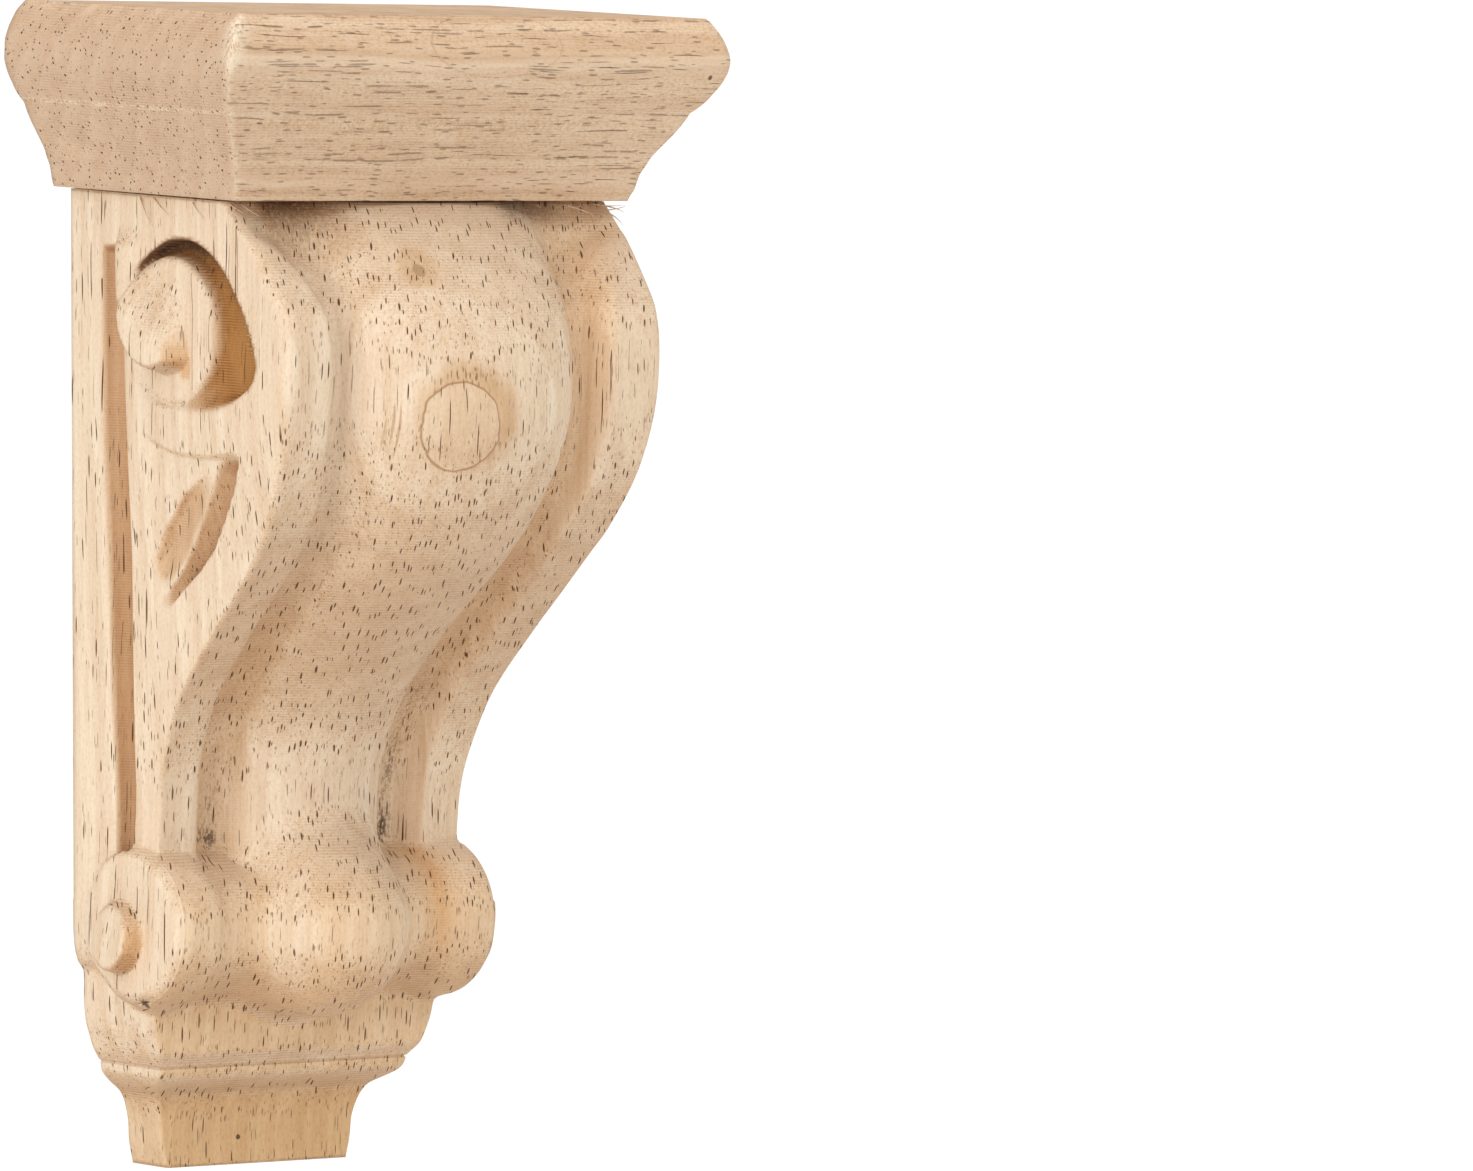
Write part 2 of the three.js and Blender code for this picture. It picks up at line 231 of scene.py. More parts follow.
# Base: half width and depth of the block, the ledge and the foot
base_half = smooth_through([
    (FOOT_Z, 17.9), (-86.4, 18.8), (-83.3, 19.1), (-80.1, 20), (-78.5, 21), (-76.9, 23.05), (-75.3, 24.5),
    (-73.8, 24.9), (-72, 26.1), (-70.5, 26.8), (-67.4, 27.9), (-64, 28.4), (-59.5, 28.7), (-58, 29.8),
    (-55, 30.65), (BOARD_END_Z, 31.1),
])
base_depth = smooth_through([
    (FOOT_Z, 8.1), (-88.6, 8), (-84, 7.8), (-81.1, 8.2), (-79.2, 8.8), (-78.3, 9.3), (-77.2, 10.9),
    (-76.1, 12.7), (-75.2, 13.4), (-74.1, 13.8), (-73.3, 14), (-72.3, 14.8), (-71.3, 15.4), (-70, 15.6),
    (-65.6, 15.9), (-60, 15.9),
])


def board_half(z):
    """Half width of the flat back board, and of the base under it."""
    return np.where(z > BOARD_END_Z, 32.95 + 0.0409 * z, base_half(z))


def step_notch(z):
    """The fine cut line between the block and the ledge."""
    return STEP_CUT * bump(z, STEP_Z, STEP_WIDTH)


def flank_foot(z):
    return rim_half(z) - band_width(z) - flank_run(z)


def swell_edge(z):
    """Half width of the swelling where it leaves the valleys."""
    return np.minimum(swell_half(z), flank_foot(z) - SWELL_CLEAR)


def scroll_depth(x, z):
    """Depth of the rims, the valleys and the swelling, without the roll."""
    across = np.abs(x)
    rim_d = rim_depth(z)
    floor = rim_d - valley_drop(z)
    t = (across - flank_foot(z)) / flank_run(z)
    climb = soft_min(soft_max(t, np.zeros_like(t), FLANK_FOOT_SOFT), np.ones_like(t), FLANK_TOP_SOFT)
    rim = floor + (rim_d - floor) * np.clip(climb, 0, 1)
    arch = np.sqrt(np.clip(1 - (across / swell_edge(z)) ** 2, 0, 1))
    sunk = floor - SWELL_SINK
    swell = sunk + (swell_depth(z) - sunk) * arch
    return soft_max(rim, swell, SWELL_SOFT)


def roll_radius(x):
    """Radius of the roll: thinner at its waist and rounded off at both ends."""
    across = np.abs(x)
    radius = ROLL_WAIST_RADIUS + (ROLL_RADIUS - ROLL_WAIST_RADIUS) * ramp(across, 18.5, 25.5)
    radius = radius + ROLL_RIGHT_SWELL * ramp(x, 20, 27)
    past = np.clip(across - (ROLL_FACE_X - ROLL_EDGE), 0, ROLL_EDGE)
    return radius - ROLL_EDGE + np.sqrt(ROLL_EDGE ** 2 - past ** 2)


def roll_fillet(x, z):
    """Width of the hollow between the roll and what is behind it: tight at the rims, wide over the ball."""
    in_rims = ramp(np.abs(x), 18, 24) * ramp(z, ROLL_Z, ROLL_Z + 5)
    above_ball = ramp(z, -51, -43) * fall(np.abs(x), 9, 15)
    right_foot = ramp(x, 18, 25) * fall(z, ROLL_Z - 6, ROLL_Z)
    return 3.2 - 2.2 * in_rims + 3.2 * above_ball - 1.6 * right_foot


def front_depth(x, z):
    """Depth of the whole front, found by coming in from the front to the first wood."""
    plain = base_depth(np.minimum(z, -60)) - step_notch(z)
    scroll = scroll_depth(x, np.maximum(z, NECK_END_Z))
    behind = plain + (scroll - plain) * ramp(z, -54.5, -51.5)
    near = (z > BALL_Z - BALL_RADIUS - 6) & (z < -28)
    result = behind.copy()
    if not near.any():
        return result
    x, z, behind = x[near], z[near], behind[near]
    radius = roll_radius(x)
    fillet = roll_fillet(x, z)
    depth = np.full_like(x, FAR_FRONT)
    for _ in range(STEPS_IN):
        roll = np.hypot(depth - ROLL_DEPTH, z - ROLL_Z) - radius
        past_middle = np.maximum(depth - BALL_DEPTH, 0)
        ball = np.sqrt(x ** 2 + past_middle ** 2 + (z - BALL_Z) ** 2) - BALL_RADIUS
        gap = soft_min(soft_min(roll, ball, BALL_SOFT), (depth - behind) * 0.85, fillet)
        depth = np.maximum(depth - gap * STEP_SHARE, behind)
    result[near] = depth
    return result


# Carving of the sides, laid out by depth and height
groove_back = smooth_through([(-63, 10), (-43, 9.6), (-32, 9.4), (-4.6, 9), (21.5, 8.5), (53, 8.2)])
groove_front = smooth_through([
    (-63, 13), (-40.6, 13.4), (-32, 13.9), (-4, 14.5), (22, 14.2), (37, 13.6), (53, 13.2),
])
leaf_front = straight_through([
    (-2, 22.2), (-1, 23), (1.2, 25.4), (4.4, 29.6), (7.9, 33.3), (11, 35.6), (14.3, 37.6), (18.4, 40),
    (22.5, 42),
])
leaf_back = straight_through([(1, 21.6), (3.2, 20.9), (5.4, 20.2), (10.2, 22.9), (15.9, 27.7), (20.2, 34.6)])
ledge_z = smooth_through([
    (16, 25.4), (19, 24.8), (22, 23.6), (26, 22.6), (33.4, 22.2), (38, 22.6), (43, 23.4),
])

# Reach and depth of the pocket round the disc, by the angle from the front in degrees
pocket_reach = smooth_through([
    (-180, 11.3), (-90, 11.8), (-64, 13.6), (-50, 15.5), (-37, 17.9), (-25, 20.6), (-18, 22.3), (-12, 22.7),
    (-6, 22), (0, 20.9), (10, 19.3), (23, 17.7), (35, 16.9), (56, 15.7), (67, 15.1), (79, 14.3), (91, 13.7),
    (105, 12.9), (117, 12.4), (135, 11.6), (180, 11.3),
])
pocket_depth = smooth_through([
    (-110, 0), (-85, 0.3), (-66, 0.7), (-50, 1.2), (-37, 1.7), (-25, 2.3), (-12, 2.9), (10, 3.3), (40, 3.6),
    (70, 3.6), (95, 3.3), (110, 2.7), (122, 1.8), (135, 0.4), (150, 0), (180, 0),
])


def groove_cut(depth, z):
    """The long groove deepens towards the front and ends there in a steep wall."""
    t = (depth - groove_back(z)) / (groove_front(z) - groove_back(z))
    slope = 0.35 * ramp(t, GROOVE_START, GROOVE_BEND) + 0.65 * np.clip(t, 0, 1)
    wall = fall(t, GROOVE_WALL, 1.02)
    return GROOVE_CUT * slope * wall * (t > GROOVE_START) * fall(z, 51.6, 53.2)


def leaf_cuts(depth, z):
    """The V cut in front, the hollow behind it and the shallow ledge over them, as three depths."""
    line = leaf_front(z)
    off = (depth - line) * 0.74 - 0.9
    width = np.where(off > 0, 0.45, 1.8 + 2.1 * ramp(z, -2, 10))
    v_cut = LEAF_V_CUT * np.clip(1 - np.abs(off) / width, 0, 1) * ramp(z, -2.4, 4) * fall(z, 19.5, 23.2)
    back = leaf_back(z)
    front = line - 2 - 1.4 * ramp(z, 0, 10)
    t = np.clip((depth - back) / np.maximum(front - back, 0.5), 0, 1)
    hollow = LEAF_HOLLOW * ramp(t, 0, 0.3) * (1 - t) ** 0.8 * ramp(z, 1.2, 6) * fall(z, 13, 20.4)
    under = ledge_z(depth) - z
    ledge_ends = ramp(depth, 17.5, 22) * fall(depth, 41, 43.6)
    ledge = LEAF_LEDGE * ramp(under, 0, 0.5) * fall(under, 1.5, 14) * ledge_ends
    return v_cut, hollow, ledge


def knob_rise(depth, z):
    """The knob's face rises from the volute's upper front to its lower back, where it ends in a wall."""
    away = np.hypot(depth - KNOB_DEPTH, z - KNOB_Z)
    down = (50.5 - z) * 0.9 + (31 - depth) * 0.5
    face = KNOB_HEIGHT * ramp(down, 2.5, 14.5)
    back_wall = 1 - np.clip((away - KNOB_RADIUS + 1.1) / 1.3, 0, 1) ** 2
    front_wall = 1 - np.clip((depth - KNOB_FRONT + KNOB_FRONT_RUN) / KNOB_FRONT_RUN, 0, 1) ** 1.7
    return face * back_wall * front_wall


def about_disc(depth, z):
    """Distance and angle from the disc's middle, the pocket's reach there, and the share of it crossed."""
    across, up = depth - DISC_DEPTH, z - DISC_Z
    away = np.hypot(across, up)
    angle = np.degrees(np.arctan2(up, across))
    reach = pocket_reach(angle)
    share = (away - DISC_RADIUS) / np.maximum(reach - DISC_RADIUS, 0.3)
    return away, angle, reach, share


def volute_offset(depth, z):
    """How far the volute stands out of the side, or in where it is below zero."""
    away, angle, reach, share = about_disc(depth, z)
    inside = fall(away, reach - 0.25 - 4.4 * ramp(-angle, 14, 48), reach)
    floor = pocket_depth(angle) * (0.45 * ramp(share, -0.06, 0.2) + 0.55 * np.clip(share, 0, 1))
    beside_pocket = ramp(pocket_depth(angle), 0, 0.8)
    rounded = 0.35 * beside_pocket * ramp(away, DISC_RADIUS - 1.1, DISC_RADIUS) * (away < reach)
    incised = INCISED_CUT * fall(angle, -80, -60) * ramp(angle, -150, -138) * bump(away, DISC_RADIUS, 0.3)
    in_front = ramp(depth, groove_front(z) - 0.25, groove_front(z) + 0.1)
    shoulder = SHOULDER_HEIGHT * ramp(z, 40, 46) * fall(z, 52, 57) * fall(depth, 14.5, 22.5) * in_front
    stand = (knob_rise(depth, z) ** 3 + shoulder ** 3) ** (1 / 3)
    return stand - (floor + rounded) * inside - incised


def boss_rise(depth, z):
    """How far the boss stands out of the roll's end; its face tilts back and leans up."""
    away = np.hypot(depth - BOSS_DEPTH, z - BOSS_Z)
    rise = BOSS_HEIGHT + BOSS_TILT * (depth - BOSS_DEPTH) - BOSS_LEAN * (z - BOSS_Z)
    rise = rise - 0.35 * ramp(away, BOSS_RADIUS - 0.8, BOSS_RADIUS)
    return rise * fall(away, BOSS_RADIUS - 0.1, BOSS_RADIUS + 0.35)


def roll_end(depth, z, away, right):
    """Half width at the round end of the roll, whose edge is rounder in front and below."""
    front_or_low = np.maximum(ramp(depth, 9, 21), fall(z, -61, -54))
    edge = ROLL_BACK_EDGE + (ROLL_EDGE - ROLL_BACK_EDGE) * front_or_low
    off = away - (ROLL_RADIUS - edge)
    over = np.clip(off, 0, edge * 0.94)
    beyond = np.clip(off - edge * 0.94, 0, 4)
    face = ROLL_FACE_X - edge + np.sqrt(edge ** 2 - over ** 2) - 2.6 * beyond + boss_rise(depth, z)
    if right:
        return face + ROLL_RIGHT_OUT
    return face - CHIP_CUT * bump(depth, CHIP_DEPTH, 0.6) * bump(z, CHIP_Z, 0.8)


def side_x(depth, z, front_d, right):
    """Half width of one side at a depth and height; only the left side of the base leans in."""
    share = np.clip(depth / np.maximum(front_d, 1), 0, 1)
    board = board_half(z)
    ruled = board + (rim_half(np.maximum(z, NECK_END_Z)) - board) * share
    lean = 0 if right else 0.5 + 0.8 * ramp(z, -80, -72)
    x = np.where(z > BOARD_END_Z, ruled, board - share * lean) - step_notch(z)
    x = x - groove_cut(depth, z) * ramp(z, -62, -60)
    v_cut, hollow, ledge = leaf_cuts(depth, z)
    x = x - (np.maximum(v_cut, hollow) + ledge) * (z > -45)
    x = np.where((z > 20) & (z < 60), x + volute_offset(depth, z), x)
    away = np.hypot(depth - ROLL_DEPTH, z - ROLL_Z)
    face = roll_end(depth, z, away, right)
    standing = np.where(away < ROLL_RADIUS + 0.02, np.maximum(x, face), x)
    joined = standing + (soft_max(x, face, 1.7) - standing) * fall(z, -57, -52)
    return np.where((z < -45) & (z > -68), joined, standing)


def rows_between(*stretches):
    """Places in stretches of (low, high, count), and the end of the last one."""
    rows = [np.linspace(low, high, count, endpoint=False) for low, high, count in stretches]
    return np.concatenate(rows + [[stretches[-1][1]]])


# Rows and columns of the body's mesh
BODY_ROWS = rows_between(
    (FOOT_Z, -84, 8), (-84, -79.5, 9), (-79.5, -74.1, 15), (-74.1, -73.4, 5), (-73.4, -66, 16),
    (-66, -63.95, 5), (-63.95, -63.85, 1), (-63.85, -63.6, 4), (-63.6, NECK_END_Z, 52), (NECK_END_Z, -6, 46),
    (-6, 56, 138), (56, BODY_TOP_Z, 9),
)
GROOVE_SHARES = np.concatenate([
    np.linspace(GROOVE_START, GROOVE_BEND, 4, endpoint=False),
    np.linspace(GROOVE_BEND, GROOVE_WALL, 6), [1],
])
BOARD_COLUMNS = 8
SIDE_COLUMNS = 71
BAND_COLUMNS = 10
FLANK_COLUMNS = 10
SWELL_COLUMNS = 34
BACK_COLUMNS = 9
ROLL_CORNER = 0.12


def in_roll(z):
    return (z < NECK_END_Z - 0.4) & (z >= BLOCK_TOP_Z)


def edge_depth(z):
    """Depth of the outer front edge."""
    x = rim_half(np.maximum(z, NECK_END_Z)) - 0.6
    x = np.where(z < BLOCK_TOP_Z, base_half(z) - 2, x)
    x = np.where(in_roll(z), ROLL_FACE_X - 0.29 * ROLL_EDGE, x)
    return front_depth(x, z)


def draw_to_edge(depth, z, centre_d, centre_z, radius, reach, keep):
    """Moves points close to a round edge towards it, so that the edge runs clean through them."""
    across, up = depth - centre_d, z - centre_z
    away = np.maximum(np.hypot(across, up), 1e-6)
    limit = radius(np.degrees(np.arctan2(up, across))) if callable(radius) else radius
    off = np.clip((away - limit) / reach, -1, 1)
    shift = (off * np.abs(off) ** 1.5 - off) * reach * keep
    return depth + across / away * shift, z + up / away * shift


def side_columns(z, front_d, corner):
    """Depths of one row's points on the side, from the back to the front edge."""
    part = ramp(z, -62, -46)
    back = groove_back(z) * part + 0.35 * front_d * (1 - part)
    front = groove_front(z) * part + 0.6 * front_d * (1 - part)
    grooves = back + (front - back) * GROOVE_SHARES
    board = np.linspace(0, grooves[0], BOARD_COLUMNS, endpoint=False)
    last = front_d - corner * (not in_roll(z))
    rest = front + (last - front) * (np.arange(1, SIDE_COLUMNS + 1) / SIDE_COLUMNS)
    return np.concatenate([board, grooves, rest])


def front_columns(z, edge_x):
    """Half of one row's points on the front, from the outer edge to the middle."""
    z_scroll = max(z, NECK_END_Z)
    scale = edge_x / float(rim_half(z_scroll))
    run = float(flank_run(z_scroll)) * scale
    band_x = float(rim_half(z_scroll) - np.maximum(band_width(z_scroll), 2.2)) * scale
    flank_x = band_x - run
    swell_x = min(float(swell_half(z_scroll)), flank_x / scale - SWELL_CLEAR) * scale
    band = np.linspace(edge_x, band_x + 0.3, BAND_COLUMNS, endpoint=False)
    flank = np.linspace(band_x + 0.3, flank_x - 0.3, FLANK_COLUMNS, endpoint=False)
    turn = np.linspace(0, np.pi / 2, SWELL_COLUMNS)
    even = np.linspace(0, 1, SWELL_COLUMNS)
    swell = swell_x * (0.55 * np.cos(turn) + 0.45 * (1 - even))
    between = np.array([flank_x - 0.3, (flank_x - 0.3 + swell_x) / 2])
    return np.concatenate([band, flank, between, swell])


def side_points(z, corner, right):
    """One row's points on one side: half widths, depths and heights, from the back to the front edge."""
    front_d = float(edge_depth(np.array([z]))[0])
    depths = side_columns(z, front_d, corner)
    zs = np.full_like(depths, z)
    keep = ramp(depths, 0, 2.5) * ramp(front_d - depths, 0, 2.5)
    if z > 20:
        depths, zs = draw_to_edge(depths, zs, DISC_DEPTH, DISC_Z, pocket_reach, 0.8, keep)
        depths, zs = draw_to_edge(depths, zs, DISC_DEPTH, DISC_Z, DISC_RADIUS, 0.6, keep)
    if -70 < z < -34:
        depths, zs = draw_to_edge(depths, zs, ROLL_DEPTH, ROLL_Z, ROLL_RADIUS, 0.8, keep * (z > -54))
        depths, zs = draw_to_edge(depths, zs, BOSS_DEPTH, BOSS_Z, BOSS_RADIUS, 0.6, keep)
    return side_x(depths, zs, front_d, right), depths, zs


def rounded_corner(x, depth, next_x, next_depth):
    """Points of the quarter round between the side and the front."""
    turn = np.radians([22.5, 45, 67.5])
    return x - (x - next_x) * (1 - np.cos(turn)), depth + (next_depth - depth) * np.sin(turn)


def body_points():
    """All rings of the body, each from the left back corner round the front."""
    rings = []
    for z in BODY_ROWS:
        left_corner = ROLL_CORNER if in_roll(z) else float(edge_round(z))
        right_corner = ROLL_CORNER if in_roll(z) else 0.45 * left_corner
        left_x, left_d, left_z = side_points(z, left_corner, False)
        right_x, right_d, right_z = side_points(z, right_corner, True)
        left_half = front_columns(z, float(left_x[-1]) - left_corner)
        right_half = front_columns(z, float(right_x[-1]) - right_corner)
        across = np.concatenate([-left_half, right_half[::-1][1:]])
        ds = front_depth(across, np.full_like(across, z))
        left_arc = rounded_corner(left_x[-1], left_d[-1], left_half[0], ds[0])
        right_arc = rounded_corner(right_x[-1], right_d[-1], right_half[0], ds[-1])
        back = np.linspace(right_x[0], -left_x[0], BACK_COLUMNS)[1:-1]
        xs = [-left_x, -left_arc[0], across, right_arc[0][::-1], right_x[::-1], back]
        depths = [left_d, left_arc[1], ds, right_arc[1][::-1], right_d[::-1], np.zeros_like(back)]
        flat = np.full(len(left_arc[0]), z)
        heights = [left_z, flat, np.full_like(across, z), flat, right_z[::-1], np.full_like(back, z)]
        ring = [np.concatenate(xs), -np.concatenate(depths), np.concatenate(heights)]
        rings.append(np.stack(ring, axis=-1))
    return np.array(rings)


# Torn fibres that stand off the wood under the cap: middle lines as (across, depth, up)
SPLINTERS = [
    [(-36, 18.1, 61.1), (-37.5, 20.8, 58.8), (-37.2, 23.3, 56.3)],
    [(-36, 21.3, 61), (-37.6, 24.7, 59.9), (-37.4, 27.1, 58.6)],
    [(-36, 30.8, 61.2), (-37.7, 33.4, 60.2), (-37.4, 35.7, 58.5)],
    [(-35.6, 38, 61.2), (-37.3, 42.2, 60.9), (-37, 45, 59.6)],
    [(-34, 40.2, 61.1), (-35.4, 43, 60.4), (-34.2, 45.4, 59.2)],
    [(35.4, 39.5, 60.8), (38.4, 41.5, 60.5), (39.8, 42.4, 59.6)],
    [(35, 40.5, 60.4), (37.6, 43.2, 59.4), (38.6, 43.6, 57.6)],
    [(35.2, 41, 59.8), (38.2, 42.5, 59.9), (40.4, 42, 60.6)],
    [(34, 40.9, 60.9), (35.6, 43.6, 60.4), (37.4, 45.2, 60.9)],
    [(31, 41, 60.8), (32, 43.8, 60.1), (31, 45.6, 58.9)],
    [(27.5, 41.6, 60.9), (29.4, 44.2, 60.3), (31, 45.2, 59.4)],
    [(34.6, 42, 59), (37, 44.2, 57.8), (37.4, 45.6, 56)],
]
SPLINTER_RADIUS = 0.2
SPLINTER_TAPER = 0.85
SPLINTER_RINGS = 6


def splinter_parts(first_index):
    """Corners and faces of the torn fibres, each a closed four-sided spike."""
    corners, faces = [], []
    around = np.radians([45, 135, 225, 315])
    for line in SPLINTERS:
        start, middle, end = np.array(line, float)
        base = first_index + len(corners)
        for t in np.linspace(0, 1, SPLINTER_RINGS):
            across, depth, up = start * (1 - t) ** 2 + middle * 2 * t * (1 - t) + end * t * t
            radius = SPLINTER_RADIUS * (1 - SPLINTER_TAPER * t)
            corners.extend((across + radius * np.cos(a), -depth, up + radius * np.sin(a)) for a in around)
        for low in range(base, base + 4 * (SPLINTER_RINGS - 1), 4):
            faces.extend((low + k, low + (k + 1) % 4, low + 4 + (k + 1) % 4, low + 4 + k) for k in range(4))
        tip = base + 4 * (SPLINTER_RINGS - 1)
        faces.append((base + 3, base + 2, base + 1, base))
        faces.append((tip, tip + 1, tip + 2, tip + 3))
    return corners, faces


def loft_mesh(name, rings, masks, with_splinters=False):
    """One closed mesh through equal rings, with a value of each mask at each point."""
    rows, count = rings.shape[:2]
    corners = rings.reshape(-1, 3)
    here = np.arange(count)
    after = (here + 1) % count
    base = (np.arange(rows - 1) * count)[:, None]
    quads = np.stack([base + here, base + after, base + after + count, base + here + count], axis=-1)
    faces = quads.reshape(-1, 4).tolist()
    faces.append(list(range(count))[::-1])
    faces.append(list(range((rows - 1) * count, rows * count)))
    ends = (len(faces) - 1, len(faces) - 2)
    spare = 0
    if with_splinters:
        more, more_faces = splinter_parts(len(corners))
        corners = np.concatenate([corners, more])
        faces.extend(more_faces)
        spare = len(more)
    mesh = bpy.data.meshes.new(name)
    mesh.from_pydata((corners * MM).tolist(), [], faces)
    mesh.validate()
    mesh.update()
    mesh.shade_smooth()
    for end in ends:
        mesh.polygons[end].use_smooth = False
    for mask, values in masks.items():
        layer = mesh.attributes.new(mask, "FLOAT", "POINT")
        layer.data.foreach_set("value", np.append(values.reshape(-1), np.zeros(spare)).astype(np.float32))
    obj = bpy.data.objects.new(name, mesh)
    bpy.context.scene.collection.objects.link(obj)
    return obj


def valley_masks(x, z, on_front):
    """Painted shade and warm bounce light on the valley floors, and on the slope between the roll's waist and
    its right end.
    """
    across, right = np.abs(x), ramp(x, -1, 1)
    z_scroll = np.maximum(z, NECK_END_Z)
    swell_x, flank_x, run = swell_edge(z_scroll), flank_foot(z_scroll), flank_run(z_scroll)
    inner = ramp(across, swell_x - 2, swell_x + 0.2)
    outer = fall(across, flank_x + 0.4 * run, flank_x + run + 0.8)
    low_part = fall(z, -30, -5)
    left_share = (0.48 - 0.12 * low_part) * fall(z, -8, 12)
    right_share = 0.42 - 0.14 * low_part
    valley = inner * outer * ramp(z, -41.5, -39.5) * (right * right_share + (1 - right) * left_share)
    roll_slope = 0.75 * bump(x, 20.8, 2.4) * fall(z, -41, -39.5) * ramp(z, -61, -52) * right
    return valley * on_front, roll_slope * on_front


# Where the groove's painted shade goes: its cut, clear of the roll
def groove_mask(d, z, on_side):
    clear_of_roll = np.hypot(d - ROLL_DEPTH, z - ROLL_Z) > ROLL_RADIUS - 0.1
    return np.clip(groove_cut(d, z) / GROOVE_CUT * 6, 0, 1) * clear_of_roll * ramp(z, -52, -44) * on_side


# Painted shade on the wall round the boss
def boss_mask(d, z, on_side):
    away = np.hypot(d - BOSS_DEPTH, z - BOSS_Z)
    wall = ramp(away, BOSS_RADIUS - 0.3, BOSS_RADIUS) * fall(away, BOSS_RADIUS + 0.4, BOSS_RADIUS + 0.7)
    return wall * ramp(d, 13, 16) * fall(z, -53, -49) * on_side


def volute_masks(d, z, on_side):
    """Painted shade on the wall under the knob and in the pocket, painted shadow at the pocket's top, and
    hatching at its front.
    """
    away, angle, reach, share = about_disc(d, z)
    in_volute = on_side * (z > 22) * (z < 58)
    pocket = ramp(share, -0.08, 0.12) * ramp(reach - away, -0.4, 0.1 + 1.2 * ramp(-angle, 14, 48))
    pocket = pocket * ramp(pocket_depth(angle), 0.1, 1.2) * in_volute
    # Painted shade on the wall under the knob
    knob_wall = ramp(d, KNOB_FRONT - KNOB_FRONT_RUN, KNOB_FRONT - 1.7)
    knob_wall = knob_wall * fall(d, KNOB_FRONT - 0.1, KNOB_FRONT + 0.1)
    knob_wall = knob_wall * ramp(z, 33.2, 34.2) * fall(z, 36.5, 42.5) * in_volute
    # Painted shadow at the pocket's top, where the outer wall cuts off the light
    painted_shadow = pocket * ramp(angle, 30, 75) * fall(angle, 120, 150) * (0.5 + 0.5 * ramp(share, 0.1, 0.6))
    painted_shadow = np.maximum(painted_shadow, 0.55 * pocket * ramp(angle, -12, 40) * ramp(share, 0.2, 0.7))
    hatched = pocket * ramp(share, 0.45, 0.75) * ramp(angle, -12, -2) * fall(angle, 45, 65)
    # Painted shade over the whole pocket
    pocket_shade = pocket * (1 - 0.25 * ramp(-angle, 30, 60))
    return knob_wall, pocket_shade, painted_shadow, hatched


def fuzz_mask(x, d, z, on_front):
    """Torn, dirty wood: the low ends of both valleys, their inner edges, and the chip under the roll."""
    above_roll = ramp(z, -41, -39)
    left_end = 1.5 * bump(x, -18, 1.9) * bump(z, -38, 2.3)
    right_end = 1.3 * bump(x, 16.9, 1.5) * bump(z, -37.5, 3.4)
    left_edge = 0.6 * bump(x, -17.8, 2.2) * fall(z, -32, -22) * above_roll
    right_edge = 0.72 * bump(x, 17.2, 1.5) * fall(z, -14, -8) * above_roll
    chip = 1.2 * bump(d, CHIP_DEPTH, 0.7) * bump(z, CHIP_Z - 0.2, 0.9) * (x < 0) * (~on_front)
    return np.maximum(np.maximum.reduce([left_end, right_end, left_edge, right_edge]) * on_front, chip)


def body_masks(points):
    """Painted shade in the hollows and the deep cuts, painted shadow under the cap, at the pocket's top and
    at the groove's low end, and where the cutter tore or hatched the wood, as a value at each point.
    """
    x, d, z = points[..., 0], -points[..., 1], points[..., 2]
    on_front = d > front_depth(x.reshape(-1), z.reshape(-1)).reshape(x.shape) - 0.5
    on_side = ~on_front
    valley, roll_slope = valley_masks(x, z, on_front)
    groove = groove_mask(d, z, on_side)
    knob_wall, pocket, painted_shadow, hatched = volute_masks(d, z, on_side)
    v_cut, leaf_hollow, _ = leaf_cuts(d, z)
    on_leaf = on_side * ramp(z, -10, -5)
    in_v = np.clip(v_cut / 0.35, 0, 1) * on_leaf
    in_leaf = np.clip(leaf_hollow / 0.4, 0, 1) * on_leaf
    # Painted shadow that the cap casts on the front, darkest next to it
    left_cap_shadow = (0.5 * ramp(z, 50, 58) + 0.45 * ramp(z, 58, 61)) * on_front
    left_cap_shadow = left_cap_shadow * ramp(x, -34, -29) * fall(x, -24, -13)
    right_cap_shadow = 0.75 * ramp(z, 56.5, 60.8) * ramp(x, 10, 16) * fall(x, 24, 30) * on_front
    # Painted shade at the groove's low end, by its front wall
    groove_end_shade = 0.6 * groove * fall(z, -40, -30) * ramp(d, 11, 12.5)
    # Painted shade and bounce light in the hollows: valleys, roll slope, groove, leaf, knob wall, boss ring
    # and under the cap
    hollow = [valley, roll_slope, 0.5 * groove, 0.5 * in_leaf, 0.8 * knob_wall,
              0.6 * boss_mask(d, z, on_side), left_cap_shadow]
    # Painted shade in the deep cuts: the V cut, the leaf hollow, the pocket and the groove
    deep = [0.7 * in_v, 0.3 * in_leaf, pocket, groove * (0.48 + 0.15 * fall(z, -10, 30))]
    return {
        "hollow": np.clip(np.maximum.reduce(hollow), 0, 1),
        "deep": np.clip(np.maximum.reduce(deep), 0, 1),
        "painted_shadow": np.clip(np.maximum.reduce([painted_shadow, groove_end_shade, left_cap_shadow, right_cap_shadow]), 0, 1),
        "specks": np.clip(hatched, 0, 1),
        "fuzz": np.clip(fuzz_mask(x, d, z, on_front), 0, 1.5),
    }


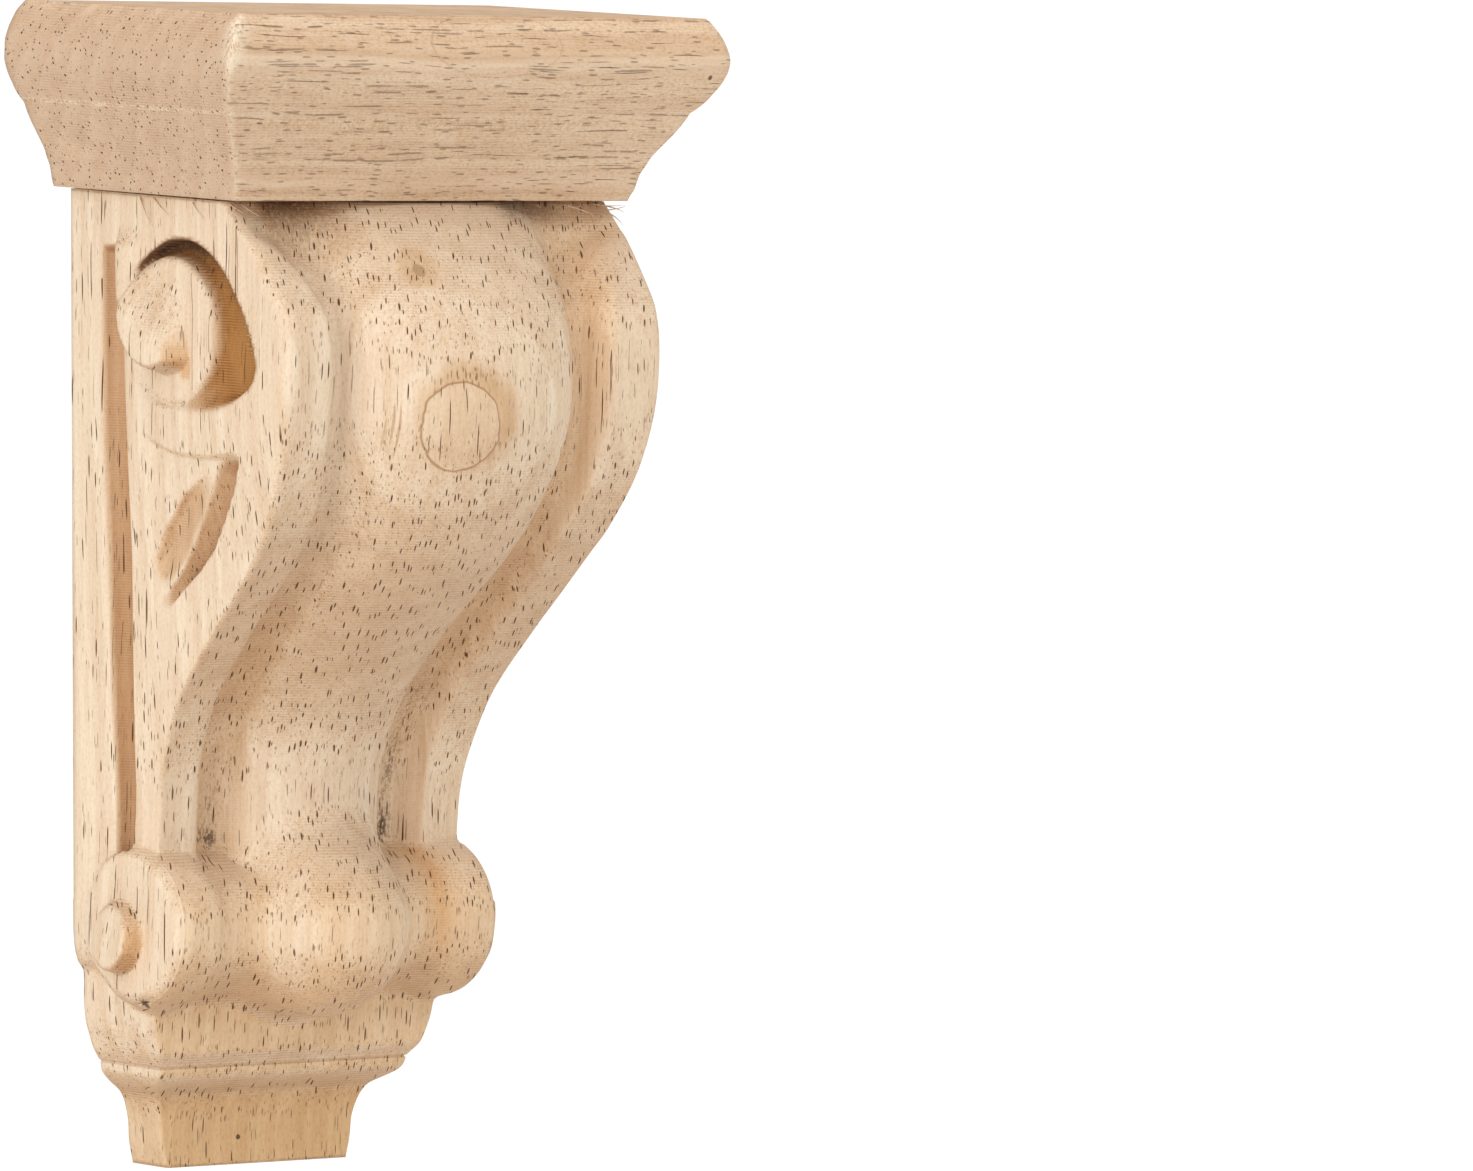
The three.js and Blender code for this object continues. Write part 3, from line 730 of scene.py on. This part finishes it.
# Cap: its underside, how far its moulding stands out beyond that by height, and its left side's offset
CAP_SEAT_HALF = 38
CAP_SEAT_DEPTH = 45.3
cap_flare = smooth_through([
    (61.5, 0.1), (62.2, 0.3), (63.2, 0.75), (64.5, 1.05), (65.7, 1.35), (67, 1.95), (68.3, 2.5), (69.5, 3.25),
    (70.8, 4.1), (72.1, 4.95), (73.4, 5.7), (74.6, 6.3), (75.3, 6.6), (75.9, 7.2), (77.2, 8.3), (78.5, 9.1),
    (79.7, 9.8), (81, 10.35), (82.2, 10.7), (83.5, 10.85), (84.7, 10.7), (85.9, 10.35), (87.1, 9.9),
    (88.3, 9.25), (89.5, 8.5), (90, 8), (91, 6.9),
])
CAP_LEFT_DROP = 1
CAP_LEFT_OUT = 0.3
CAP_LEFT_MOST = 10.95
CAP_BEVEL = 0.25
CAP_SIDE_COLUMNS = 44
CAP_FRONT_COLUMNS = 92
CAP_BACK_COLUMNS = 22


def cap_points():
    """Rings of the cap; its left moulding sits a little lower than the front and right ones."""
    rings = []
    for z in rows_between((CAP_BOTTOM_Z, 74, 46), (74, CAP_TOP_Z, 64)):
        flare = float(cap_flare(z))
        left_flare = min(float(cap_flare(z + CAP_LEFT_DROP)) + CAP_LEFT_OUT, CAP_LEFT_MOST)
        left_half, right_half = CAP_SEAT_HALF + left_flare, CAP_SEAT_HALF + flare
        deep = CAP_SEAT_DEPTH + flare
        side = np.linspace(0, deep - CAP_BEVEL, CAP_SIDE_COLUMNS)
        front = np.linspace(-left_half + CAP_BEVEL, right_half - CAP_BEVEL, CAP_FRONT_COLUMNS)
        back = np.linspace(right_half, -left_half, CAP_BACK_COLUMNS)[1:-1]
        xs = np.concatenate([np.full_like(side, -left_half), front, np.full_like(side, right_half), back])
        ds = np.concatenate([side, np.full_like(front, deep), side[::-1], np.zeros_like(back)])
        rings.append(np.stack([xs, -ds, np.full_like(xs, z)], axis=-1))
    return np.array(rings)


def cap_masks(points):
    """The torn fibres along the left front corner."""
    x, d, z = points[..., 0], -points[..., 1], points[..., 2]
    from_corner = np.hypot(x - x.min(axis=1, keepdims=True), d - d.max(axis=1, keepdims=True))
    width = 0.5 + 1.6 * ramp(z, 80, 84) * fall(z, 88.2, 89.4)
    return {"burr": bump(from_corner, 0, width)}


class Tree:
    """The shader nodes of one material, with a short call for each kind in use."""

    def __init__(self, name):
        self.material = bpy.data.materials.new(name)
        self.material.use_nodes = True
        self.nodes = self.material.node_tree.nodes
        self.shader = self.nodes["Principled BSDF"]

    def put(self, socket, value):
        if isinstance(value, bpy.types.NodeSocket):
            self.material.node_tree.links.new(value, socket)
        else:
            socket.default_value = value

    def add(self, kind, inputs, **settings):
        """A node with its settings; its inputs are named or numbered."""
        node = self.nodes.new("ShaderNode" + kind)
        for key, value in settings.items():
            setattr(node, key, value)
        for key, value in inputs.items():
            self.put(node.inputs[key], value)
        return node

    def maths(self, operation, a, b=0):
        return self.add("Math", {0: a, 1: b}, operation=operation).outputs[0]

    def plus(self, a, b):
        return self.maths("ADD", a, b)

    def minus(self, a, b):
        return self.maths("SUBTRACT", a, b)

    def larger(self, a, b):
        return self.maths("MAXIMUM", a, b)

    def times(self, first, *others):
        for other in others:
            first = self.maths("MULTIPLY", first, other)
        return first

    def vector(self, operation, a, b):
        return self.add("VectorMath", {0: a, 1: b}, operation=operation).outputs[0]

    def length(self, vector):
        return self.add("VectorMath", {0: vector}, operation="LENGTH").outputs["Value"]

    def split(self, vector):
        return list(self.add("SeparateXYZ", {0: vector}).outputs)

    def join(self, x, y, z=0):
        return self.add("CombineXYZ", {0: x, 1: y, 2: z}).outputs[0]

    def step(self, value, low, high, out_low=0, out_high=1):
        """A smooth step between two values; low may lie above high."""
        inputs = {"Value": value, "From Min": low, "From Max": high, "To Min": out_low, "To Max": out_high}
        return self.add("MapRange", inputs, interpolation_type="SMOOTHSTEP").outputs[0]

    def blend(self, mode, colour, share, tone):
        node = self.add("Mix", {}, data_type="RGBA", blend_type=mode)
        self.put(node.inputs[0], share)
        for socket, value in ((node.inputs[6], colour), (node.inputs[7], tone)):
            self.put(socket, value + (1,) if isinstance(value, tuple) else value)
        return node.outputs[2]

    def tint(self, colour, share, tone):
        """A colour multiplied by a tone."""
        return self.blend("MULTIPLY", colour, share, tone)

    def cover(self, colour, share, tone):
        """A colour with a tone laid over it."""
        return self.blend("MIX", colour, share, tone)

    def noise(self, place, scales, detail=2, roughness=0.5, output="Fac"):
        inputs = {"Vector": self.vector("MULTIPLY", place, scales), "Scale": 1, "Detail": detail,
                  "Roughness": roughness}
        return self.add("TexNoise", inputs, noise_dimensions="3D").outputs[output]

    def mask(self, name):
        return self.add("Attribute", {}, attribute_name=name).outputs["Fac"]

    def away_from(self, place, centre, half):
        """Distance from a centre, 1 on the surface of the ellipsoid with these half sizes."""
        return self.length(self.vector("DIVIDE", self.vector("SUBTRACT", place, centre), half))

    def pores(self, place, cell, stretch, widths, share):
        """Open pores, one in each cell of the first two coordinates; the second is drawn out."""
        scaled = self.vector("MULTIPLY", place, (1 / cell, stretch / cell, 0))
        cells = self.add("TexVoronoi", {"Vector": scaled, "Scale": 1}, voronoi_dimensions="2D")
        size, chance, _ = self.split(cells.outputs["Color"])
        width = self.step(size, 0, 1, widths[0] / cell, widths[1] / cell)
        edge = self.maths("DIVIDE", cells.outputs["Distance"], width)
        return self.times(self.step(edge, 1, 0.62), self.step(chance, 1 - share, 1.04 - share))


# Tones and grain of the two blocks of wood; the pith is a place across the grain
BODY_WOOD = SimpleNamespace(
    name="carved_hardwood", grain_x=False, pith=(23, 54), ring_share=0.5,
    light=(0.81, 0.665, 0.505), warm=(0.755, 0.59, 0.425),
    end=(0.59, 0.435, 0.30), pore=(0.115, 0.047, 0.016),
    pore_widths=(0.10, 0.17), pore_breaks=(0.42, 0.5), dash_stretch=0.24, dash_slant=-0.45,
)
CAP_WOOD = SimpleNamespace(
    name="cap_hardwood", grain_x=True, pith=(140, 60), ring_share=0.9,
    light=(0.745, 0.57, 0.405), warm=(0.685, 0.50, 0.345),
    end=(0.52, 0.355, 0.235), pore=(0.09, 0.038, 0.015),
    pore_widths=(0.12, 0.22), pore_breaks=(0.48, 0.54), dash_stretch=0.16, dash_slant=0,
)
RING_WIDTH = 4.6
CUTTER_PITCH = 0.42
COMB_PITCH = 0.66
DARK = (0.07, 0.035, 0.02)
RING_LINE = (0.33, 0.16, 0.07)
TAN = (0.80, 0.66, 0.50)
# Painted shade and warm bounce light in the hollows
HOLLOW_SHADE_TONE = (0.88, 0.68, 0.46)
# Painted shade in the deep cuts and the pocket
DEEP_CUT_SHADE = (0.52, 0.305, 0.115)
CUTTER_LINE = (0.62, 0.46, 0.34)
TORN = (0.09, 0.055, 0.03)
# Painted shadow under the cap, at the pocket's top and at the groove's low end
PAINTED_SHADOW_TONE = (0.09, 0.042, 0.022)

# Marks on the surface: kind, place across, in depth and up, half sizes, tone and strength
BODY_MARKS = [
    ("halo", (-9.8, 53.5, 51.8), (4.2, 6, 4.6), TAN, 0.6),
    ("spot", (-9.8, 53.5, 51.4), (1.2, 4, 1.1), (0.30, 0.16, 0.07), 0.6),
    ("spot", (-31, 17.7, -63.3), (2.5, 0.8, 0.95), DARK, 0.85),
    ("spot", (-16.2, 55, 27.5), (0.22, 9, 5.2), (0.42, 0.23, 0.11), 0.6),
    ("spot", (-17, 54, 28.5), (0.24, 9, 4.2), (0.42, 0.23, 0.11), 0.6),
    ("spot", (-17.9, 52, 27), (0.2, 9, 3.6), (0.46, 0.27, 0.14), 0.5),
    ("spot", (-3.5, 8.1, -85.8), (0.5, 1.5, 0.5), DARK, 0.9),
    ("spot", (-24.3, 13.9, -74.6), (0.4, 1.5, 0.5), DARK, 0.85),
    ("spot", (-23.1, 13.9, -75.1), (0.3, 1.5, 0.5), DARK, 0.8),
    ("spot", (-9.8, 8.1, -87.5), (0.22, 1.5, 1.5), DARK, 0.7),
]
CAP_MARKS = [
    ("grit", (-49, 26, 74.9), (6, 60, 0.75), (0.86, 0.72, 0.52), 0.6),
    ("grit", (-44, 8, 65.5), (5, 9, 4.5), (0.80, 0.60, 0.36), 0.5),
    ("grit", (-8, 51, 73.4), (46, 5, 1.3), (0.46, 0.28, 0.13), 0.5),
    ("grit", (-20, 51, 66), (28, 5, 1.6), (0.50, 0.31, 0.15), 0.35),
    ("ring", (2.6, 56, 85.8), (12.7, 20, 5), (0.42, 0.24, 0.12), 0.45),
    ("spot", (45.1, 56, 81), (0.45, 3, 0.45), DARK, 0.85),
]
RING_HALF_WIDTH = 0.32


def places_in(tree, grain_x):
    """Where a point is, in millimetres, how its face is turned, and both as the grain runs."""
    metres = tree.add("TexCoord", {}).outputs["Object"]
    place = tree.vector("MULTIPLY", metres, (1000, 1000, 1000))
    x, y, z = tree.split(place)
    normal_x, _, normal_z = tree.split(tree.add("NewGeometry", {}).outputs["Normal"])
    steep_x, steep_z = tree.maths("ABSOLUTE", normal_x), tree.maths("ABSOLUTE", normal_z)
    along, side, end = (x, z, steep_x) if grain_x else (z, x, steep_z)
    return SimpleNamespace(
        place=place, y=y, z=z, normal_z=normal_z, steep_x=steep_x, steep_z=steep_z,
        along=along, end=end, grain=tree.join(side, y, along),
        grit=tree.noise(place, (1.9, 1.9, 1.05), 4, 0.75))


def drifted(tree, place, by, scales, amount, detail):
    """A place moved across the grain by slow noise."""
    drift = tree.vector("SUBTRACT", tree.noise(by, scales, detail, output="Color"), (0.5, 0.5, 0.5))
    return tree.vector("ADD", place, tree.vector("MULTIPLY", drift, (amount, amount, 0)))


def grain_colour(tree, at, kind):
    """Growth rings about the pith, fibres, mottling and end grain; also the bent place and the fibres."""
    bent = drifted(tree, at.grain, at.grain, (0.035, 0.035, 0.012), 3.2, 2)
    off_pith = tree.vector("MULTIPLY", tree.vector("SUBTRACT", bent, kind.pith + (0,)), (1, 1, 0))
    saw = tree.maths("FRACT", tree.maths("DIVIDE", tree.length(off_pith), RING_WIDTH))
    ring = tree.times(tree.step(saw, 0, 0.82), tree.step(saw, 1, 0.93))
    bent = drifted(tree, bent, at.grain, (0.16, 0.16, 0.045), 2, 1)
    fibre = tree.noise(bent, (1.9, 1.9, 0.05), 4, 0.6)
    streak = tree.noise(bent, (0.45, 0.45, 0.012), 3)
    mottle = tree.noise(at.grain, (2.6, 2.6, 1.5), 3, 0.65)
    colour = tree.cover(kind.light, tree.step(streak, 0.35, 0.68), kind.warm)
    colour = tree.tint(colour, tree.times(ring, kind.ring_share), (0.90, 0.84, 0.78))
    colour = tree.tint(colour, tree.step(fibre, 0.35, 0.75, 0, 0.5), (0.86, 0.78, 0.68))
    rough_cut = tree.step(at.steep_z, 0.05, 0.5, 0.45, 1)
    colour = tree.tint(colour, tree.times(rough_cut, tree.step(mottle, 0.44, 0.68)), (0.84, 0.75, 0.62))
    colour = tree.cover(colour, tree.times(tree.step(at.end, 0.25, 0.95), 0.65), kind.end)
    return colour, bent, fibre


def open_pores(tree, at, bent, kind):
    """Long pores on faces along the grain, fine ones between them, and short dashes on slopes."""
    breaks = tree.noise(bent, (0.9, 0.9, 0.22), 1)
    long_pores = tree.pores(bent, 1.2, 1, kind.pore_widths, 0.95)
    long_pores = tree.times(long_pores, tree.step(breaks, *kind.pore_breaks))
    moved = tree.vector("ADD", bent, (17.7, 12.4, 0))
    fine_pores = tree.times(tree.pores(moved, 0.62, 1, (0.055, 0.10), 0.85), tree.step(breaks, 0.44, 0.52))
    seen = tree.join(tree.plus(tree.split(bent)[0], tree.times(at.y, kind.dash_slant)), at.along)
    dashes = tree.pores(seen, 0.88, kind.dash_stretch, (0.08, 0.17), 0.72)
    facing = tree.times(tree.step(at.steep_x, 0.8, 0.55), tree.step(at.y, -4, -7))
    return long_pores, fine_pores, seen, dashes, facing


def cutter_lines(tree, at, cut, colour, line_share):
    """Fine lines that the cutter left across the slopes; cut says where, beside the slopes."""
    wave = tree.maths("SINE", tree.times(at.z, 2 * math.pi / CUTTER_PITCH))
    where = tree.step(at.steep_z, 0.12, 0.55)
    if cut is not None:
        where = tree.larger(where, cut)
    patch = tree.noise(at.place, (0.16, 0.16, 0.16))
    lines = tree.times(where, tree.step(patch, 0.4, 0.62, 0.3, 1))
    share = tree.times(lines, tree.step(wave, -0.4, 1, 0, 0.34), line_share)
    return tree.tint(colour, share, CUTTER_LINE), tree.times(lines, wave)


def surface_marks(tree, at, colour, marks):
    """Spots, gritty patches, halos that multiply, and one ring line, each round its own place."""
    for kind, (across, depth, up), half, tone, strength in marks:
        away = tree.away_from(at.place, (across, -depth, up), half)
        ragged = 0.5 if kind == "spot" else 0.12
        rough_edge = tree.plus(away, tree.times(tree.minus(at.grit, 0.5), ragged))
        width = RING_HALF_WIDTH / half[0]
        if kind == "halo":
            colour = tree.tint(colour, tree.times(tree.step(away, 1, 0.55), strength), tone)
            continue
        if kind == "spot":
            share = tree.step(rough_edge, 1, 0.7)
        elif kind == "grit":
            share = tree.times(tree.step(away, 1, 0.6), tree.step(at.grit, 0.5, 0.58))
        else:
            outside = tree.step(rough_edge, 1 + width, 1)
            share = tree.times(tree.step(rough_edge, 1 - width, 1), outside)
        colour = tree.cover(colour, tree.times(share, strength), tone)
    return colour


def finish_wood(tree, colour, fibre, pores, fine_pores, lines):
    """Roughness and fine relief."""
    tree.put(tree.shader.inputs["Base Color"], colour)
    tree.put(tree.shader.inputs["Roughness"], tree.plus(tree.times(fibre, 0.12), 0.6))
    tree.put(tree.shader.inputs["Specular IOR Level"], 0.25)
    height = tree.minus(tree.times(fibre, 0.035), tree.times(pores, 0.12))
    height = tree.minus(height, tree.times(fine_pores, 0.04))
    height = tree.minus(height, tree.times(lines, 0.024))
    relief = tree.add("Bump", {"Height": height, "Strength": 0.8, "Distance": MM})
    tree.put(tree.shader.inputs["Normal"], relief.outputs[0])
    return tree.material


def pore_colour(tree, kind, colour, pores, fine_pores):
    colour = tree.cover(colour, pores, kind.pore)
    return tree.cover(colour, tree.times(fine_pores, 0.7), kind.pore)


def body_shade(tree, at, colour):
    """Painted shade: undersides are darker and browner, and the roll, the block and the foot darker towards
    the bottom, each a little more.
    """
    off_side = tree.step(at.steep_x, 0.8, 0.5)
    # Painted shade on surfaces that face down
    colour = tree.tint(colour, tree.step(at.normal_z, -0.05, -0.8), (0.87, 0.79, 0.71))
    # Painted shade, darker towards the bottom: the roll, then the block, then the foot
    roll = tree.times(tree.step(at.z, -36, -50), tree.step(at.z, -68, -62), off_side)
    colour = tree.tint(colour, roll, (0.96, 0.89, 0.80))
    block = tree.times(tree.step(at.z, -61, -66), tree.step(at.steep_z, 0.6, 0.25), off_side)
    colour = tree.tint(colour, block, (0.96, 0.86, 0.72))
    return tree.tint(colour, tree.step(at.z, -74, -80), (0.88, 0.80, 0.69))


def body_dashes(tree, at, seen, dashes, in_eye):
    """Dashes of the carved front: longer where it stands upright, and very long in the eye."""
    upright = tree.step(at.steep_z, 0.26, 0.1)
    belly = tree.pores(tree.vector("ADD", seen, (31, 7, 0)), 1.05, 0.09, (0.08, 0.14), 0.6)
    short_share = tree.minus(1, tree.times(upright, 0.8))
    dashes = tree.larger(tree.times(upright, belly), tree.times(short_share, dashes))
    eye_dashes = tree.pores(seen, 0.95, 0.04, (0.10, 0.15), 0.98)
    return tree.plus(tree.times(in_eye, eye_dashes), tree.times(tree.minus(1, in_eye), dashes))


def eye_colour(tree, at, colour, eye, in_front):
    """The growth ring round the eye, and the warmer wood about it."""
    halo_place = (EYE_X + 1.2, -62, EYE_Z + 1.6)
    halo = tree.step(tree.away_from(at.place, halo_place, (11, 12, 10.2)), 1, 0.6)
    colour = tree.tint(colour, tree.times(halo, tree.step(eye, 0.98, 1.02, 0.45, 0.85)), TAN)
    outline = tree.times(tree.step(eye, 0.955, 0.99), tree.step(eye, 1.035, 1), in_front, 0.75)
    return tree.cover(colour, outline, RING_LINE)


def torn_wood_and_shadow(tree, at, colour):
    """Torn fibres, the hatching in the pocket, and painted shadow under the cap, at the pocket's top and at
    the groove's low end.
    """
    painted_shadow, fuzz, specks = tree.mask("painted_shadow"), tree.mask("fuzz"), tree.mask("specks")
    torn = tree.step(tree.plus(at.grit, tree.times(fuzz, 0.16)), 0.56, 0.68)
    colour = tree.cover(colour, tree.times(fuzz, torn, 0.85), TORN)
    comb = tree.maths("SINE", tree.times(at.z, 2 * math.pi / COMB_PITCH))
    dark_line = tree.times(specks, tree.step(comb, 0.1, -0.6), tree.step(at.grit, 0.32, 0.46), 0.7)
    colour = tree.cover(colour, dark_line, (0.17, 0.085, 0.04))
    pale_line = tree.times(specks, tree.step(comb, 0.2, 0.8), tree.step(at.grit, 0.48, 0.58), 0.85)
    colour = tree.cover(colour, pale_line, (0.86, 0.62, 0.34))
    # Painted shadow, patchy with the grit
    patchy = tree.step(tree.plus(at.grit, tree.times(painted_shadow, 0.14)), 0.44, 0.62, 0.35, 1)
    return tree.cover(colour, tree.times(painted_shadow, patchy, 0.92), PAINTED_SHADOW_TONE)


def body_material():
    """The carved block: its grain runs up and down."""
    tree = Tree(BODY_WOOD.name)
    at = places_in(tree, BODY_WOOD.grain_x)
    colour, bent, fibre = grain_colour(tree, at, BODY_WOOD)
    colour = body_shade(tree, at, colour)
    wander = tree.times(tree.minus(tree.noise(at.place, (0.3, 0.3, 0.3)), 0.5), 0.22)
    eye = tree.away_from(at.place, (EYE_X, 0, EYE_Z), (EYE_HALF_X, 200, EYE_HALF_Z))
    eye = tree.plus(wander, eye)
    in_front = tree.step(at.y, -45, -50)
    in_eye = tree.times(tree.step(eye, 0.94, 0.84), in_front)
    long_pores, fine_pores, seen, dashes, facing = open_pores(tree, at, bent, BODY_WOOD)
    dashes = body_dashes(tree, at, seen, dashes, in_eye)
    pores = tree.larger(tree.times(dashes, facing), tree.times(long_pores, tree.minus(1, facing)))
    hollow, deep = tree.mask("hollow"), tree.mask("deep")
    # Painted shade: hollows warmer and darker, deep cuts and the pocket dark brown
    colour = tree.tint(tree.tint(colour, hollow, HOLLOW_SHADE_TONE), deep, DEEP_CUT_SHADE)
    colour = eye_colour(tree, at, colour, eye, in_front)
    line_share = tree.plus(1, tree.times(deep, 1.6))
    colour, lines = cutter_lines(tree, at, tree.larger(hollow, deep), colour, line_share)
    colour = surface_marks(tree, at, colour, BODY_MARKS)
    colour = pore_colour(tree, BODY_WOOD, colour, pores, fine_pores)
    colour = torn_wood_and_shadow(tree, at, colour)
    return finish_wood(tree, colour, fibre, pores, fine_pores, lines)


def cap_material():
    """The cap's block: its grain runs from side to side, so its sides show end grain."""
    tree = Tree(CAP_WOOD.name)
    at = places_in(tree, CAP_WOOD.grain_x)
    colour, bent, fibre = grain_colour(tree, at, CAP_WOOD)
    long_pores, fine_pores, _, dashes, facing = open_pores(tree, at, bent, CAP_WOOD)
    facing = tree.times(facing, tree.step(at.steep_z, 0.9, 0.7), 0.5)
    pores = tree.larger(tree.times(dashes, facing), tree.times(long_pores, tree.minus(1, facing)))
    colour, lines = cutter_lines(tree, at, None, colour, 1)
    colour = surface_marks(tree, at, colour, CAP_MARKS)
    colour = pore_colour(tree, CAP_WOOD, colour, pores, fine_pores)
    burr_share = tree.step(at.z, 79, 83, 0.3, 0.75)
    burr = tree.times(tree.mask("burr"), tree.step(at.grit, 0.4, 0.55), burr_share)
    colour = tree.cover(colour, burr, (0.84, 0.72, 0.55))
    return finish_wood(tree, colour, fibre, pores, fine_pores, lines)


# The two pieces, over the solids that they dress
rings = body_points()
body = loft_mesh("corbel_body", rings, body_masks(rings), with_splinters=True)
body.data.materials.append(body_material())
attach(body, "root")
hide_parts("carved_body")

cap_rings = cap_points()
cap = loft_mesh("corbel_cap", cap_rings, cap_masks(cap_rings))
cap.data.materials.append(cap_material())
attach(cap, "root")
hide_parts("cap")

# Floor, well under the corbel
FLOOR_HALF = 30
FLOOR_Z = -0.16
floor_mesh = bpy.data.meshes.new("floor")
floor_corners = [(x * FLOOR_HALF, y * FLOOR_HALF, FLOOR_Z) for x, y in ((-1, -1), (1, -1), (1, 1), (-1, 1))]
floor_mesh.from_pydata(floor_corners, [], [(0, 1, 2, 3)])
floor = bpy.data.objects.new("floor", floor_mesh)
bpy.context.scene.collection.objects.link(floor)
pale = Tree("pale_floor")
pale.put(pale.shader.inputs["Base Color"], (0.97, 0.97, 0.97, 1))
pale.put(pale.shader.inputs["Roughness"], 0.9)
floor_mesh.materials.append(pale.material)

# Light: a white room and two wide soft lights
world = bpy.data.worlds.new("studio")
world.use_nodes = True
world.node_tree.nodes["Background"].inputs["Color"].default_value = (1, 1, 1, 1)
world.node_tree.nodes["Background"].inputs["Strength"].default_value = 0.46
bpy.context.scene.world = world


def sun_light(name, toward, strength, spread):
    data = bpy.data.lights.new(name, "SUN")
    data.energy = strength
    data.angle = math.radians(spread)
    lamp = bpy.data.objects.new(name, data)
    lamp.rotation_euler = Vector(toward).to_track_quat("Z", "Y").to_euler()
    bpy.context.scene.collection.objects.link(lamp)


sun_light("key", (-0.92, -0.30, 0.28), 1.3, 40)
sun_light("top", (0, -0.30, 0.95), 1.85, 80)

# Camera, at the place and angle of the photograph: distance and shifts in millimetres, focal length in pixels
AZIMUTH, ELEVATION, ROLL = (math.radians(angle) for angle in (40.34, 3.92, 1.86))
CAMERA_DISTANCE = 2000
SHIFT_RIGHT = 77
SHIFT_UP = -0.6
FOCAL_LENGTH = 12865
PHOTO_WIDTH = 1473
SENSOR_WIDTH = 36
back = np.array([
    -math.sin(AZIMUTH) * math.cos(ELEVATION), -math.cos(AZIMUTH) * math.cos(ELEVATION), math.sin(ELEVATION),
])
level = np.array([math.cos(AZIMUTH), -math.sin(AZIMUTH), 0])
upright = np.cross(back, level)
right = math.cos(ROLL) * level + math.sin(ROLL) * upright
up = -math.sin(ROLL) * level + math.cos(ROLL) * upright
eye_point = (back * CAMERA_DISTANCE + right * SHIFT_RIGHT + up * SHIFT_UP) * MM
camera_data = bpy.data.cameras.new("camera")
camera_data.sensor_width = SENSOR_WIDTH
camera_data.lens = FOCAL_LENGTH / PHOTO_WIDTH * SENSOR_WIDTH
camera_data.clip_end = 200
camera = bpy.data.objects.new("camera", camera_data)
camera.matrix_world = Matrix([[*row] for row in zip(right, up, back, eye_point)] + [[0, 0, 0, 1]])
bpy.context.scene.collection.objects.link(camera)
bpy.context.scene.camera = camera
bpy.context.scene.view_settings.view_transform = "Standard"
